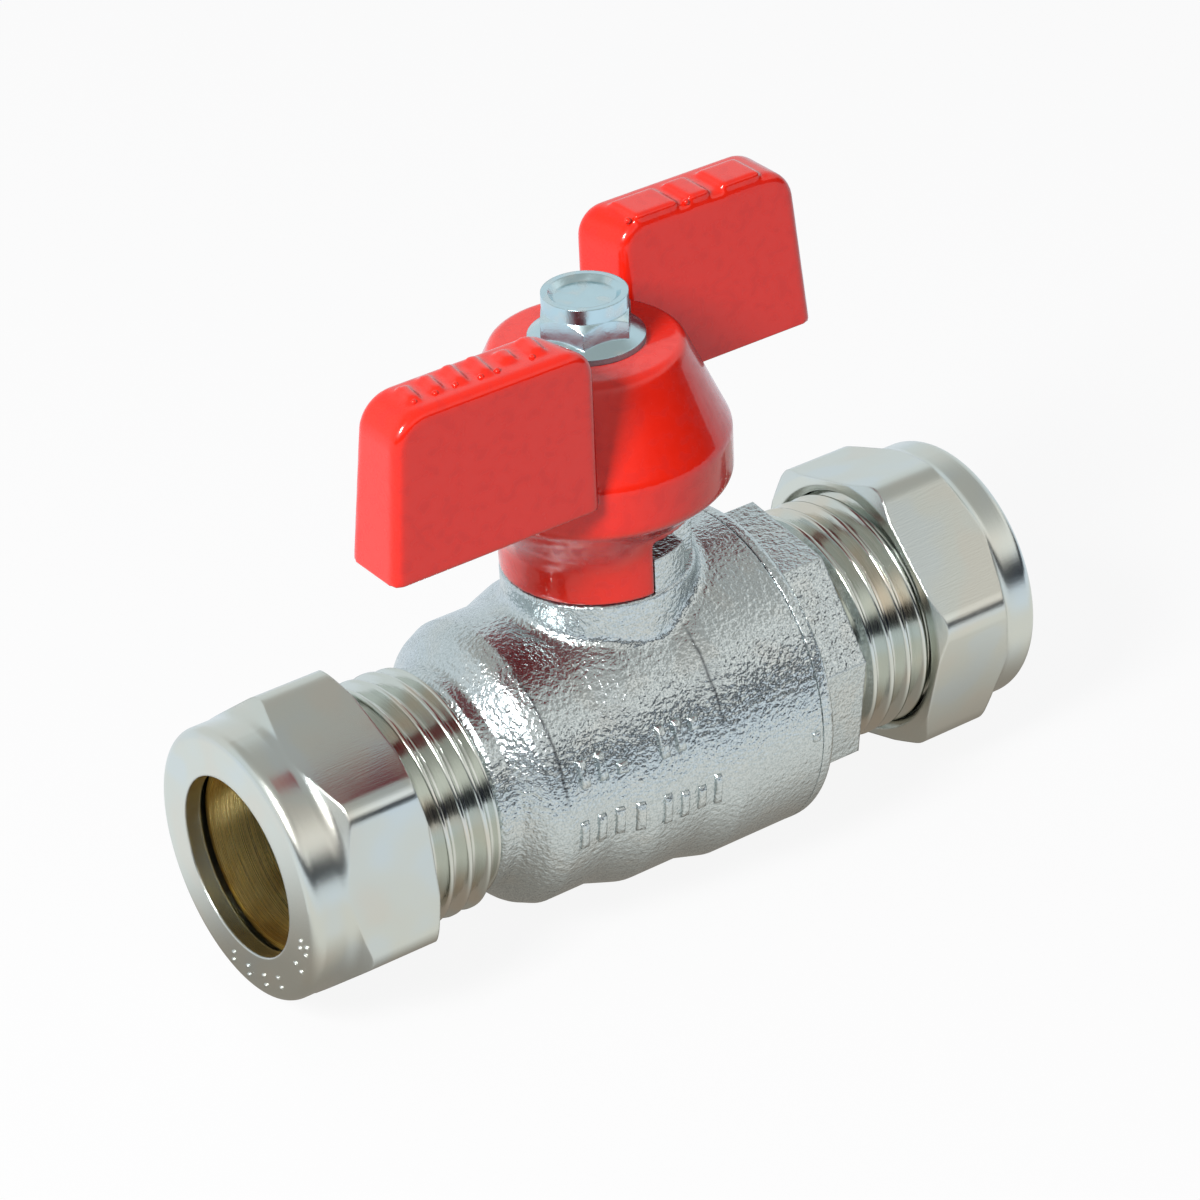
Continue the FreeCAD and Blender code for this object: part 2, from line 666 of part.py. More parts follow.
def wing(body, name, side):
    """One wing: its outline padded, its inner face drafted, its inner end cut to a slant."""
    sketch = new_sketch(body, f"{name}_outline", "XZ_Plane", D["wing_offset"] * side)
    tip = D["wing_reach"]
    outline(sketch, [
        (-D["wing_inner"] * side, wing_bottom),
        (-tip * side, wing_bottom),
        ((D["wing_lean"] - tip) * side, wing_top, D["wing_tip_round"]),
        (-D["wing_inner"] * side, wing_top),
    ])
    extruded(body, "Pad", name, sketch, D["wing_thickness"], reverse=side < 0)
    draft = new_sketch(body, f"{name}_draft", "YZ_Plane")
    outline(draft, [
        (-D["wing_offset"] * side, wing_bottom),
        (-(D["wing_offset"] + D["wing_draft"]) * side, wing_top),
        (-D["wing_offset"] * side, wing_top),
    ])
    extruded(body, "Pocket", f"{name}_inner_face", draft, D["wing_reach"] * 2, symmetric=True)
    outer_face = D["wing_offset"] + D["wing_thickness"]
    slant = new_sketch(body, f"{name}_slant", "XY_Plane", wing_top)
    outline(slant, [
        (-D["wing_inner"] * side, -outer_face * side),
        (-(D["wing_inner"] + D["wing_slant"]) * side, -D["wing_offset"] * side),
        (-D["wing_inner"] * side, -D["wing_offset"] * side),
    ])
    return extruded(body, "Pocket", f"{name}_end", slant, D["wing_height"])


def wing_end_edge(side):
    """The upper edge of one wing's inner end."""
    limit = D["wing_inner"].value + D["wing_slant"].value + LEAST

    def test(spot):
        return -spot.x * side < limit and spot.y * side < 0 and abs(spot.z - wing_top.value) < LEAST
    return lambda shape: edges_where(shape, test)


def wing_side_edges(side):
    """The edges round both flat sides of one wing, without the lower ones."""
    lean = D["wing_draft"].value / D["wing_height"].value
    faces = ((D["wing_offset"].value, lean),
             (D["wing_offset"].value + D["wing_thickness"].value, 0))

    def pick(shape):
        found = []
        for foot, slope in faces:
            def on_plane(spot):
                across = foot + slope * (spot.z - wing_bottom.value)
                return abs(-side * spot.y - across) < LEAST
            on_face = edges_where(shape, on_plane)
            lower = edges_where(shape, lambda spot: abs(spot.z - wing_bottom.value) < LEAST)
            found += [name for name in on_face if name not in lower]
        return found
    return pick


def handle():
    """The die-cast butterfly handle: bell-shaped hub, half skirt and two wings."""
    body = new_body("handle")
    for name, side in (("left_wing", 1), ("right_wing", -1)):
        wing(body, name, side)
        rounded(body, f"{name}_end_round", wing_end_edge(side), D["wing_end_round"])
        rounded(body, f"{name}_edge_round", wing_side_edges(side), D["wing_edge_round"])
    turned(body, "Revolution", "hub", "V", [
        (ZERO, hub_bottom),
        (D["skirt_radius"], hub_bottom),
        (D["skirt_radius"], hub_bottom + D["rim_foot"], D["rim_blend"]),
        (D["rim_radius"], hub_bottom + D["rim_bottom"], D["rim_round"]),
        (D["rim_radius"], hub_bottom + D["rim_top"], D["rim_round"]),
        (D["hub_top_radius"], hub_top, D["hub_round"]),
        (ZERO, hub_top),
    ])
    turned(body, "Revolution", "skirt", "V", box_corners(
        D["neck_radius"] + D["skirt_clearance"], D["skirt_radius"], skirt_bottom,
        hub_bottom + D["rim_foot"],
    ), sector=D["skirt_angle"], sector_turn=D["skirt_turn"])
    hole = new_sketch(body, "hole_outline", "XY_Plane", hub_bottom)
    outline(hole, regular_corners(
        D["square_flats"] + D["square_gap"] * 2, 4, SQUARE_TURN, D["square_round"]))
    extruded(body, "Pocket", "hole", hole, D["hub_height"], reverse=True)
    return body


def handle_screw():
    """The flange screw: threaded shank, flange, hexagon head with a dished top."""
    body = new_body("handle_screw")
    shank_radius = D["screw_thread"] / 2
    flange_top = hub_top + D["flange_edge"] + D["flange_rise"]
    across = D["screw_flats"] / 2
    turned(body, "Revolution", "shank", "V", [
        (ZERO, screw_end),
        (shank_radius, screw_end),
        (shank_radius, hub_top),
        (D["screw_flange"], hub_top),
        (D["screw_flange"], hub_top + D["flange_edge"]),
        (across, flange_top),
        (ZERO, flange_top),
    ])
    hexagon = new_sketch(body, "head_outline", "XY_Plane", hub_top)
    outline(hexagon, regular_corners(D["screw_flats"], 6, D["screw_turn"]))
    extruded(body, "Pad", "head", hexagon, D["head_height"])
    crown_foot = head_top - D["head_crown"]
    beyond = across * CORNER * CORNER
    turned(body, "Groove", "head_crown", "V", [
        (across, head_top),
        (across, crown_foot),
        (beyond, crown_foot - (beyond - across) * D["head_slope"]),
        (beyond, head_top),
    ])
    turned(body, "Groove", "dish", "V", [
        (ZERO, head_top - D["dish_depth"]),
        (across - D["dish_rim"] - D["dish_depth"], head_top - D["dish_depth"]),
        (across - D["dish_rim"], head_top),
        (ZERO, head_top),
    ])
    return body


def nose_edge(face):
    """The outer edge of a nut's face."""
    def test(spot):
        across = math.hypot(spot.y, spot.z)
        return abs(spot.x - face.value) < LEAST and abs(across - nut_nose_radius.value) < LEAST
    return lambda shape: edges_where(shape, test)


def compression_nut(name, side, neck_end, grip, turn):
    """A nut: rounded hexagon, round nose, hole for the pipe, inner cone and thread bore."""
    body = new_body(name)
    threaded_end = neck_end - grip
    face = threaded_end + D["nut_length"]
    corner = nut_flats / 2 * CORNER
    nose_start = face - D["nut_nose_length"]
    hexagon = new_sketch(body, "hexagon_outline", "YZ_Plane", threaded_end * side)
    outline(hexagon, regular_corners(nut_flats, 6, turn, D["nut_corner_round"]))
    extruded(body, "Pad", "hexagon", hexagon, D["nut_length"], reverse=side < 0)
    turned(body, "Groove", "nose", "H", [
        (face * side, nut_nose_radius),
        (nose_start * side, nut_nose_radius, D["nut_waist_round"]),
        ((nose_start - D["nut_corner_slope"]) * side, corner),
        ((nose_start - D["nut_corner_slope"]) * side, corner + D["nut_nose_round"]),
        (face * side, corner + D["nut_nose_round"]),
    ])
    rounded(body, "nose_round", nose_edge(face * side), D["nut_nose_round"])
    turned(body, "Groove", "chamfer", "H", [
        (threaded_end * side, corner - D["nut_chamfer_drop"]),
        ((threaded_end + D["nut_chamfer"]) * side, corner),
        ((threaded_end + D["nut_chamfer"]) * side, corner + D["nut_chamfer_drop"]),
        (threaded_end * side, corner + D["nut_chamfer_drop"]),
    ])
    cone_start = face - D["nut_lip"]
    cone_end = cone_start - D["nut_cone_length"]
    turned(body, "Groove", "inside", "H", [
        (face * side, ZERO),
        (face * side, nut_hole),
        (cone_start * side, nut_hole),
        (cone_end * side, nut_hole + D["nut_cone_flare"]),
        (cone_end * side, nut_thread_radius),
        ((threaded_end + D["nut_entry"]) * side, nut_thread_radius),
        (threaded_end * side, nut_thread_radius + D["nut_entry"]),
        (threaded_end * side, ZERO),
    ])
    return body


def olive(name, side, neck_end):
    """An olive: a ring whose inner end lies in the neck's cone and whose crest stands outside."""
    body = new_body(name)
    lean = D["olive_seat_gap"] / cosine(D["mouth_angle"])
    inner = neck_end - D["olive_inside"]
    outer = neck_end + D["olive_outside"]
    crest = socket_radius + D["olive_wall"]
    nose = mouth_radius - mouth_slope * D["olive_inside"] - lean
    crest_start = neck_end + (crest - mouth_radius + lean) / mouth_slope
    turned(body, "Revolution", "ring", "H", [
        (inner * side, socket_radius),
        (inner * side, nose),
        (crest_start * side, crest),
        ((outer - D["olive_slope"]) * side, crest),
        (outer * side, socket_radius + D["olive_edge"]),
        (outer * side, socket_radius),
    ])
    return body


def build():
    """Model every piece of the valve."""
    return [
        valve_body(),
        end_connector(),
        connector_seal(),
        seat("seat_left", -1),
        seat("seat_right", 1),
        ball(),
        stem(),
        stem_thrust_washer(),
        stem_seal("stem_seal_lower", lower_groove),
        stem_seal("stem_seal_upper", upper_groove),
        handle(),
        handle_screw(),
        compression_nut("nut_left", -1, left_end, D["nut_left_grip"], D["nut_left_turn"]),
        compression_nut("nut_right", 1, right_end, D["nut_right_grip"], D["nut_right_turn"]),
        olive("olive_left", -1, left_end),
        olive("olive_right", 1, right_end),
    ]


def check(pieces):
    """Stop if any object failed or any piece is not a sound solid."""
    for thing in document.Objects:
        if "Invalid" in thing.State or "Error" in thing.State:
            raise RuntimeError(f"{thing.Label} failed: {thing.State}")
    for piece in pieces:
        shape = piece.Shape
        if shape.isNull() or not shape.isValid() or len(shape.Solids) != 1:
            raise RuntimeError(f"{piece.Label} is not one sound solid")


def export(pieces):
    """Write one file for each piece, named after its node."""
    os.makedirs("parts", exist_ok=True)
    for piece in pieces:
        piece.Shape.exportStep(f"parts/{piece.Label}.step")
        volume = piece.Shape.Volume / 1000
        print(f"{piece.Label}: {volume:.3f} cm3, {len(piece.Shape.Faces)} faces")


if __name__ == "__main__":
    PIECES = build()
    document.recompute()
    check(PIECES)
    export(PIECES)
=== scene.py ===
"""Finishes for a 15 mm compression ball valve: threads, cast marks, metals and paint.

The file is laid out as an add-on and run as a script. Lengths are in metres.
"""
import math

import bmesh
import bpy
from bpy.props import FloatProperty, FloatVectorProperty, PointerProperty
from mathutils import Matrix, Vector
from mathutils.bvhtree import BVHTree


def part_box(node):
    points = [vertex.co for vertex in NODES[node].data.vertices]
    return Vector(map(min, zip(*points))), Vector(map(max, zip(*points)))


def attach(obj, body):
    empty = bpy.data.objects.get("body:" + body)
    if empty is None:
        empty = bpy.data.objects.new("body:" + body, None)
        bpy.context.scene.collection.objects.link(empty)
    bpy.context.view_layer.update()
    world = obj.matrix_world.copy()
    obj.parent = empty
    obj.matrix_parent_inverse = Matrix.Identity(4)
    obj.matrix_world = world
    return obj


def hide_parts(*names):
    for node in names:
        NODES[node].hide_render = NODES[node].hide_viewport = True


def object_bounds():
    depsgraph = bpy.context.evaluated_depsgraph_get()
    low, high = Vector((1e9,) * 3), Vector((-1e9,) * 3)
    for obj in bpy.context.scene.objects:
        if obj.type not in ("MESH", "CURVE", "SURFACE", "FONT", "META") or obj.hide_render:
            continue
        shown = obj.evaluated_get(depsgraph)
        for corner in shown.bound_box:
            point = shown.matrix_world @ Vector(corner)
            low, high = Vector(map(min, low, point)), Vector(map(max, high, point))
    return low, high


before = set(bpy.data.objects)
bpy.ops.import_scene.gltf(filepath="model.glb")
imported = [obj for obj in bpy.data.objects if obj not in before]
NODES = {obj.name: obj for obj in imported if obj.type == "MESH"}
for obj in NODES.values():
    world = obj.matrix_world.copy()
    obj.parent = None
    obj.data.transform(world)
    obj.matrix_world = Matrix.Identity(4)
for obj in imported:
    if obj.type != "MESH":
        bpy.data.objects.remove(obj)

bl_info = {
    "name": "Compression ball valve",
    "version": (1, 0, 0),
    "blender": (4, 5, 0),
    "location": "3D View > Sidebar > Valve",
    "description": "Gives the valve its threads, cast marks and finishes, and sets the stage",
    "category": "Object",
}

CAD_BOX = [list(corner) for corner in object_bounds()]
MM = 0.001
# Vertices closer than this are one
WELD = 0.001 * MM
# Slack when vertices are picked by their place
SLACK = 0.01 * MM

# Ends of the two necks along the pipe
LEFT_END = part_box("valve_body")[0].x
RIGHT_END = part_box("end_connector")[1].x


# Settings that a user would change

class ValveThread(bpy.types.PropertyGroup):
    pitch: FloatProperty(
        name="Pitch", description="Distance from one crest to the next",
        default=1.814 * MM, unit="LENGTH")
    depth: FloatProperty(
        name="Depth", description="Depth of the groove below the crests",
        default=1.16 * MM, unit="LENGTH")
    crest: FloatProperty(
        name="Crest radius", description="Outer radius of the thread",
        default=10.45 * MM, unit="LENGTH")
    length: FloatProperty(
        name="Length", description="Thread from the neck's end to its relief",
        default=12.3 * MM, unit="LENGTH")
    chamfer: FloatProperty(
        name="Chamfer", description="Chamfer that starts the thread",
        default=0.9 * MM, unit="LENGTH")
    left_start: FloatProperty(
        name="Left start", description="Where the left helix starts round the neck",
        default=math.radians(224.0), subtype="ANGLE")
    right_start: FloatProperty(
        name="Right start", description="Where the right helix starts round the neck",
        default=math.radians(270.5), subtype="ANGLE")


class ValveColours(bpy.types.PropertyGroup):
    nickel: FloatVectorProperty(
        name="Nickel", description="Colour of the nickel plating",
        default=(0.67, 0.73, 0.74), subtype="COLOR")
    warm_nickel: FloatVectorProperty(
        name="Warm nickel", description="Colour of the plating's warm spots",
        default=(0.77, 0.70, 0.60), subtype="COLOR")
    satin_nickel: FloatVectorProperty(
        name="Satin nickel", description="Colour of the plating on the nuts and threads",
        default=(0.70, 0.73, 0.685), subtype="COLOR")
    cool_nickel: FloatVectorProperty(
        name="Cool nickel", description="Colour of the plating's cool spots",
        default=(0.62, 0.74, 0.84), subtype="COLOR")
    paint: FloatVectorProperty(
        name="Paint", description="Colour of the handle",
        default=(0.96, 0.018, 0.004), subtype="COLOR")
    brass: FloatVectorProperty(
        name="Brass", description="Colour of the bare brass",
        default=(0.90, 0.68, 0.28), subtype="COLOR")
    zinc: FloatVectorProperty(
        name="Zinc", description="Colour of the screw's plating",
        default=(0.58, 0.76, 0.82), subtype="COLOR")


class ValveStage(bpy.types.PropertyGroup):
    eye: FloatVectorProperty(
        name="Camera place", description="Where the camera stands",
        default=(-176.93 * MM, -258.25 * MM, 198.96 * MM), subtype="TRANSLATION")
    turn: FloatProperty(
        name="Camera turn", description="Turn of the camera about the vertical",
        default=math.radians(-34.427), subtype="ANGLE")
    tilt: FloatProperty(
        name="Camera tilt", description="Angle of the camera from straight down",
        default=math.radians(58.994), subtype="ANGLE")
    roll: FloatProperty(
        name="Camera roll", description="Roll of the camera about its own axis",
        default=math.radians(-2.761), subtype="ANGLE")
    lens: FloatProperty(
        name="Lens", description="Focal length in millimetres on a 36 mm sensor",
        default=133.55)


# Shader trees

# The range that most of a noise's values lie in
NOISE_LOW = 0.3
NOISE_HIGH = 0.7


class Tree:
    """Short calls that add nodes to one shader tree and join them."""

    def __init__(self, tree):
        self.tree = tree
        self.nodes = tree.nodes
        self.links = tree.links

    def add(self, kind, settings=None, **inputs):
        """A node of this kind. Its inputs are values or other nodes' outputs."""
        item = self.nodes.new(kind)
        for name, value in (settings or {}).items():
            setattr(item, name, value)
        for name, value in inputs.items():
            self.feed(item, name.replace("_", " "), value)
        return item

    def feed(self, item, name, value):
        socket = item.inputs[int(name)] if name.isdigit() else item.inputs[name]
        if isinstance(value, bpy.types.NodeSocket):
            self.links.new(value, socket)
        elif isinstance(value, (tuple, list)) and len(value) == 3 and socket.type == "RGBA":
            socket.default_value = (*value, 1.0)
        else:
            socket.default_value = value

    def math(self, operation, first, second=0.5, third=0.5):
        item = self.nodes.new("ShaderNodeMath")
        item.operation = operation
        for number, value in enumerate((first, second, third)):
            self.feed(item, str(number), value)
        return item.outputs[0]

    def mix(self, factor, first, second):
        item = self.nodes.new("ShaderNodeMix")
        item.data_type = "RGBA"
        self.feed(item, "0", factor)
        self.feed(item, "6", first)
        self.feed(item, "7", second)
        return item.outputs[2]

    def ramp(self, value, low, high, low_out=0.0, high_out=1.0):
        """The value's stretch from low to high, clamped and eased, as low_out to high_out."""
        item = self.nodes.new("ShaderNodeMapRange")
        item.interpolation_type = "SMOOTHSTEP"
        for name, number in (("Value", value), ("From Min", low), ("From Max", high),
                             ("To Min", low_out), ("To Max", high_out)):
            self.feed(item, name, number)
        return item.outputs[0]

    def spread(self, noise, low_out, high_out):
        """A noise's usual range as low_out to high_out."""
        return self.ramp(noise, NOISE_LOW, NOISE_HIGH, low_out, high_out)

    def noise(self, vector, size, detail=2.0, roughness=0.5):
        """Noise whose lumps are about this size."""
        scale = self.math("DIVIDE", 1.0, size)
        item = self.nodes.new("ShaderNodeTexNoise")
        for name, value in (("Vector", vector), ("Scale", scale), ("Detail", detail),
                            ("Roughness", roughness)):
            self.feed(item, name, value)
        return item.outputs[0]

    def place(self):
        return self.nodes.new("ShaderNodeTexCoord").outputs["Object"]

    def split(self, vector):
        return self.add("ShaderNodeSeparateXYZ", Vector=vector).outputs

    def distance(self, first, second):
        """Length of the sum of two distances at right angles."""
        squares = self.math("ADD", self.math("MULTIPLY", first, first),
                            self.math("MULTIPLY", second, second))
        return self.math("SQRT", squares)


def new_group(name, inputs, outputs):
    """An empty node group with these sockets, and the tree that fills it."""
    group = bpy.data.node_groups.new(name, "ShaderNodeTree")
    for socket, default in inputs:
        kind = "NodeSocketColor" if isinstance(default, tuple) else "NodeSocketFloat"
        made = group.interface.new_socket(name=socket, in_out="INPUT", socket_type=kind)
        made.default_value = (*default, 1.0) if isinstance(default, tuple) else default
    for socket, kind in outputs:
        group.interface.new_socket(name=socket, in_out="OUTPUT", socket_type=kind)
    tree = Tree(group)
    start = group.nodes.new("NodeGroupInput")
    end = group.nodes.new("NodeGroupOutput")
    return tree, start.outputs, end


# How much finer the second grain of a blasted surface is, and its share of the height
FINE_GRAIN = 2.6
FINE_SHARE = 0.25
# The fine grain's value at which its flecks begin
FLECK_LOW = 0.35


def blast_group():
    """Shot-blasted metal: small dents with brighter and darker flecks."""
    tree, given, end = new_group(
        "Blasted grain", [("Size", 0.3 * MM)],
        [("Height", "NodeSocketFloat"), ("Fleck", "NodeSocketFloat")])
    place = tree.place()
    coarse = tree.noise(place, given["Size"], 1.0)
    fine = tree.noise(place, tree.math("DIVIDE", given["Size"], FINE_GRAIN), 1.0)
    tree.feed(end, "Height", tree.math("MULTIPLY_ADD", fine, FINE_SHARE, coarse))
    tree.feed(end, "Fleck", tree.ramp(fine, FLECK_LOW, NOISE_HIGH))
    return tree.tree


# Values of the drifting noise: its middle, and where warm and cool spots are full
CLOUD_MIDDLE = 0.50
CLOUD_WARM = 0.70
CLOUD_COOL = 0.32


def tone_group():
    """Plating whose tone drifts from cool to warm over the surface."""
    tree, given, end = new_group(
        "Plating tone",
        [("Base", (0.6, 0.6, 0.6)), ("Warm", (0.6, 0.5, 0.4)), ("Cool", (0.5, 0.6, 0.7)),
         ("Patch", 4 * MM), ("Amount", 0.5), ("Cool Amount", 0.0)],
        [("Color", "NodeSocketColor"), ("Cloud", "NodeSocketFloat")])
    cloud = tree.noise(tree.place(), given["Patch"], 1.0, 0.4)
    warm = tree.math("MULTIPLY", tree.ramp(cloud, CLOUD_MIDDLE, CLOUD_WARM), given["Amount"])
    cool = tree.math("MULTIPLY", tree.ramp(cloud, CLOUD_MIDDLE, CLOUD_COOL),
                     given["Cool Amount"])
    warmed = tree.mix(warm, given["Base"], given["Warm"])
    tree.feed(end, "Color", tree.mix(cool, warmed, given["Cool"]))
    tree.feed(end, "Cloud", cloud)
    return tree.tree


def turned_group():
    """Fine rings left by turning about the pipe's axis."""
    tree, given, end = new_group(
        "Turning rings", [("Pitch", 0.09 * MM)], [("Height", "NodeSocketFloat")])
    along, across, up = tree.split(tree.place())
    flat = tree.add("ShaderNodeCombineXYZ", X=along, Y=tree.distance(across, up)).outputs[0]
    tree.feed(end, "Height", tree.noise(flat, given["Pitch"], 2.0, 0.6))
    return tree.tree


# Share of the noise's change that is left along the drawn lines
DRAWN_STRETCH = 0.06


def drawn_group():
    """Fine lines left along the pipe by drawing the bar."""
    tree, given, end = new_group(
        "Drawn lines", [("Width", 0.12 * MM)], [("Height", "NodeSocketFloat")])
    along, across, up = tree.split(tree.place())
    slow = tree.math("MULTIPLY", along, DRAWN_STRETCH)
    stretched = tree.add("ShaderNodeCombineXYZ", X=slow, Y=across, Z=up).outputs[0]
    tree.feed(end, "Height", tree.noise(stretched, given["Width"], 2.0, 0.6))
    return tree.tree


# Samples that feel for an edge, and the turn of the normal at which the edge mask is full
EDGE_SAMPLES = 6
EDGE_FULL_TURN = 0.3


def edge_group():
    """A mask of the outer edges, which are lightened partly as handling wear and partly as
    painted highlight.
    """
    tree, given, end = new_group(
        "Edge wear and highlight", [("Reach", 0.3 * MM)],
        [("Mask", "NodeSocketFloat"), ("Normal", "NodeSocketVector")])
    bevel = tree.add("ShaderNodeBevel", {"samples": EDGE_SAMPLES}, Radius=given["Reach"])
    plain = tree.add("ShaderNodeNewGeometry")
    dot = tree.add("ShaderNodeVectorMath", {"operation": "DOT_PRODUCT"})
    tree.feed(dot, "0", bevel.outputs[0])
    tree.feed(dot, "1", plain.outputs["Normal"])
    wear_highlight = tree.math("SUBTRACT", 1.0, dot.outputs["Value"])
    tree.feed(end, "Mask", tree.ramp(wear_highlight, 0.0, EDGE_FULL_TURN))
    tree.feed(end, "Normal", bevel.outputs[0])
    return tree.tree


# Painted shade along the creases round the barrel: each line's socket, and the heights between
# which it shows
CREASE_SHADE_LINES = (("Left", 1.0 * MM, 12.5 * MM), ("Right", 3.0 * MM, 12.5 * MM))
# Length over which the painted shade fades at both ends, how far its line wanders and over what
# length
CREASE_FADE = 3.0 * MM
CREASE_WANDER = 0.3 * MM
CREASE_WAVE = 1.0 * MM
# The places across the pipe between which the painted shade comes in
CREASE_FRONT = (-1.0 * MM, -3.0 * MM)


def crease_group():
    """A mask of painted shade along the two creases round the barrel, on the front side only."""
    tree, given, end = new_group(
        "Barrel crease shade", [("Left", -12.1 * MM), ("Right", 2.7 * MM), ("Width", 0.2 * MM)],
        [("Mask", "NodeSocketFloat")])
    place = tree.place()
    along, across, up = tree.split(place)
    wander = tree.math("MULTIPLY_ADD", tree.noise(place, CREASE_WAVE), CREASE_WANDER, along)
    masks = []
    for side, low, high in CREASE_SHADE_LINES:
        gap = tree.math("ABSOLUTE", tree.math("SUBTRACT", wander, given[side]))
        line = tree.math("SUBTRACT", 1.0, tree.math("DIVIDE", gap, given["Width"]))
        below = tree.ramp(up, low, low + CREASE_FADE)
        faded = tree.math("MULTIPLY", below, tree.ramp(up, high, high - CREASE_FADE))
        masks.append(tree.math("MULTIPLY", tree.math("MAXIMUM", line, 0.0), faded))
    front = tree.ramp(across, *CREASE_FRONT)
    tree.feed(end, "Mask", tree.math("MULTIPLY", front, tree.math("MAXIMUM", *masks)))
    return tree.tree


GROUPS = {}


def use_group(tree, maker, **inputs):
    """A copy of one of the shared groups, with this material's own values."""
    if maker.__name__ not in GROUPS:
        GROUPS[maker.__name__] = maker()
    item = tree.nodes.new("ShaderNodeGroup")
    item.node_tree = GROUPS[maker.__name__]
    for name, value in inputs.items():
        tree.feed(item, name.replace("_", " "), value)
    return item.outputs


def new_material(name, **constants):
    """A material with a plain Principled BSDF, its constant values set."""
    material = bpy.data.materials.new(name)
    material.use_nodes = True
    tree = Tree(material.node_tree)
    shader = tree.nodes["Principled BSDF"]
    for socket, value in constants.items():
        shader.inputs[socket.replace("_", " ")].default_value = value
    return material, tree, shader


MATERIALS = {}


def shared(maker, colours):
    """A finish that several pieces share, made once."""
    if maker.__name__ not in MATERIALS:
        MATERIALS[maker.__name__] = maker(colours)
    return MATERIALS[maker.__name__]


def bump(tree, shader, height, distance, strength, normal=None):
    """Relief from a pattern, this distance deep, over a rounded normal if one is given."""
    item = tree.add("ShaderNodeBump", Strength=strength, Distance=distance, Height=height)
    if normal is not None:
        tree.feed(item, "Normal", normal)
    tree.feed(shader, "Normal", item.outputs[0])


# Tones of the pits, of the edges (handling wear and painted highlight) and of the painted shade
# along the creases in the plating
PIT_TONE = (0.36, 0.42, 0.44)
BLASTED_EDGE_WEAR_HIGHLIGHT = (0.8, 0.82, 0.82)
SATIN_EDGE_WEAR_HIGHLIGHT = (0.82, 0.83, 0.82)
CREASE_SHADE_TONE = (0.10, 0.11, 0.12)
# How strongly each of them shows
PIT_SHARE = 0.4
BLASTED_WEAR_HIGHLIGHT_SHARE = 0.4
SATIN_WEAR_HIGHLIGHT_SHARE = 0.5
CREASE_SHADE_SHARE = 0.85
# Heights of the blasted grain and of finer relief
BLAST_HEIGHT = 0.115 * MM
FINE_HEIGHT = 0.02 * MM


def blasted_nickel(colours):
    material, tree, shader = new_material("blasted_nickel", Metallic=1.0)
    tone = use_group(tree, tone_group, Base=tuple(colours.nickel),
                     Warm=tuple(colours.warm_nickel), Patch=3 * MM, Amount=0.15)
    grain = use_group(tree, blast_group, Size=0.43 * MM)
    edge = use_group(tree, edge_group, Reach=0.25 * MM)
    pitted = tree.mix(tree.math("MULTIPLY", grain["Fleck"], PIT_SHARE), tone["Color"], PIT_TONE)
    # Edges lightened, partly as handling wear and partly as painted highlight
    wear_highlight = tree.math("MULTIPLY", edge["Mask"], BLASTED_WEAR_HIGHLIGHT_SHARE)
    bright = tree.mix(wear_highlight, pitted, BLASTED_EDGE_WEAR_HIGHLIGHT)
    crease_shade = use_group(tree, crease_group)
    # Painted shade: dark lines mixed into the colour along the barrel's creases
    tree.feed(shader, "Base Color", tree.mix(
        tree.math("MULTIPLY", crease_shade["Mask"], CREASE_SHADE_SHARE), bright, CREASE_SHADE_TONE))
    tree.feed(shader, "Roughness", tree.ramp(grain["Fleck"], 0.0, 1.0, 0.20, 0.27))
    bump(tree, shader, grain["Height"], BLAST_HEIGHT, strength=1.0, normal=edge["Normal"])
    return material


def turned_nickel(colours):
    material, tree, shader = new_material("turned_nickel", Metallic=1.0)
    tone = use_group(tree, tone_group, Base=tuple(colours.satin_nickel),
                     Warm=tuple(colours.warm_nickel), Patch=5 * MM, Amount=0.8)
    rings = use_group(tree, turned_group)
    edge = use_group(tree, edge_group, Reach=0.15 * MM)
    tree.feed(shader, "Base Color", tone["Color"])
    tree.feed(shader, "Roughness", tree.spread(rings["Height"], 0.08, 0.2))
    bump(tree, shader, rings["Height"], FINE_HEIGHT, strength=0.35, normal=edge["Normal"])
    return material


# Distances from a nut's face between which the drawn lines give way to turning rings
NOSE_START = 4.6 * MM
NOSE_END = 3.4 * MM
# Share of the fine grain beside the lines and rings in a nut's relief
NUT_GRAIN_SHARE = 0.5


def nut_nickel(colours, name, nose_start, nose_end):
    """Satin plating: drawn lines on the flats, turning rings on the nose."""
    material, tree, shader = new_material(name, Metallic=1.0)
    tone = use_group(tree, tone_group, Base=tuple(colours.satin_nickel),
                     Warm=tuple(colours.warm_nickel), Cool=tuple(colours.cool_nickel),
                     Patch=5 * MM, Amount=0.35, Cool_Amount=0.3)
    grain = use_group(tree, blast_group, Size=0.12 * MM)
    lines = use_group(tree, drawn_group)
    rings = use_group(tree, turned_group)
    edge = use_group(tree, edge_group, Reach=0.3 * MM)
    along = tree.split(tree.place())[0]
    nose = tree.ramp(tree.math("ABSOLUTE", along), nose_start, nose_end)
    marks = tree.add("ShaderNodeMix")
    for socket, value in (("0", nose), ("2", lines["Height"]), ("3", rings["Height"])):
        tree.feed(marks, socket, value)
    height = tree.math("MULTIPLY_ADD", grain["Height"], NUT_GRAIN_SHARE, marks.outputs[0])
    # Edges lightened, partly as handling wear and partly as painted highlight
    wear_highlight = tree.math("MULTIPLY", edge["Mask"], SATIN_WEAR_HIGHLIGHT_SHARE)
    tree.feed(shader, "Base Color", tree.mix(wear_highlight, tone["Color"], SATIN_EDGE_WEAR_HIGHLIGHT))
    tree.feed(shader, "Roughness", tree.spread(tone["Cloud"], 0.20, 0.265))
    bump(tree, shader, height, FINE_HEIGHT, strength=0.3, normal=edge["Normal"])
    return material


# The paint's deeper spots, and painted shade: the darker paint that the metal round it mirrors
DEEP_PAINT = (0.78, 0.016, 0.010)
PAINT_SHADE_MIRRORED = (0.30, 0.012, 0.018)


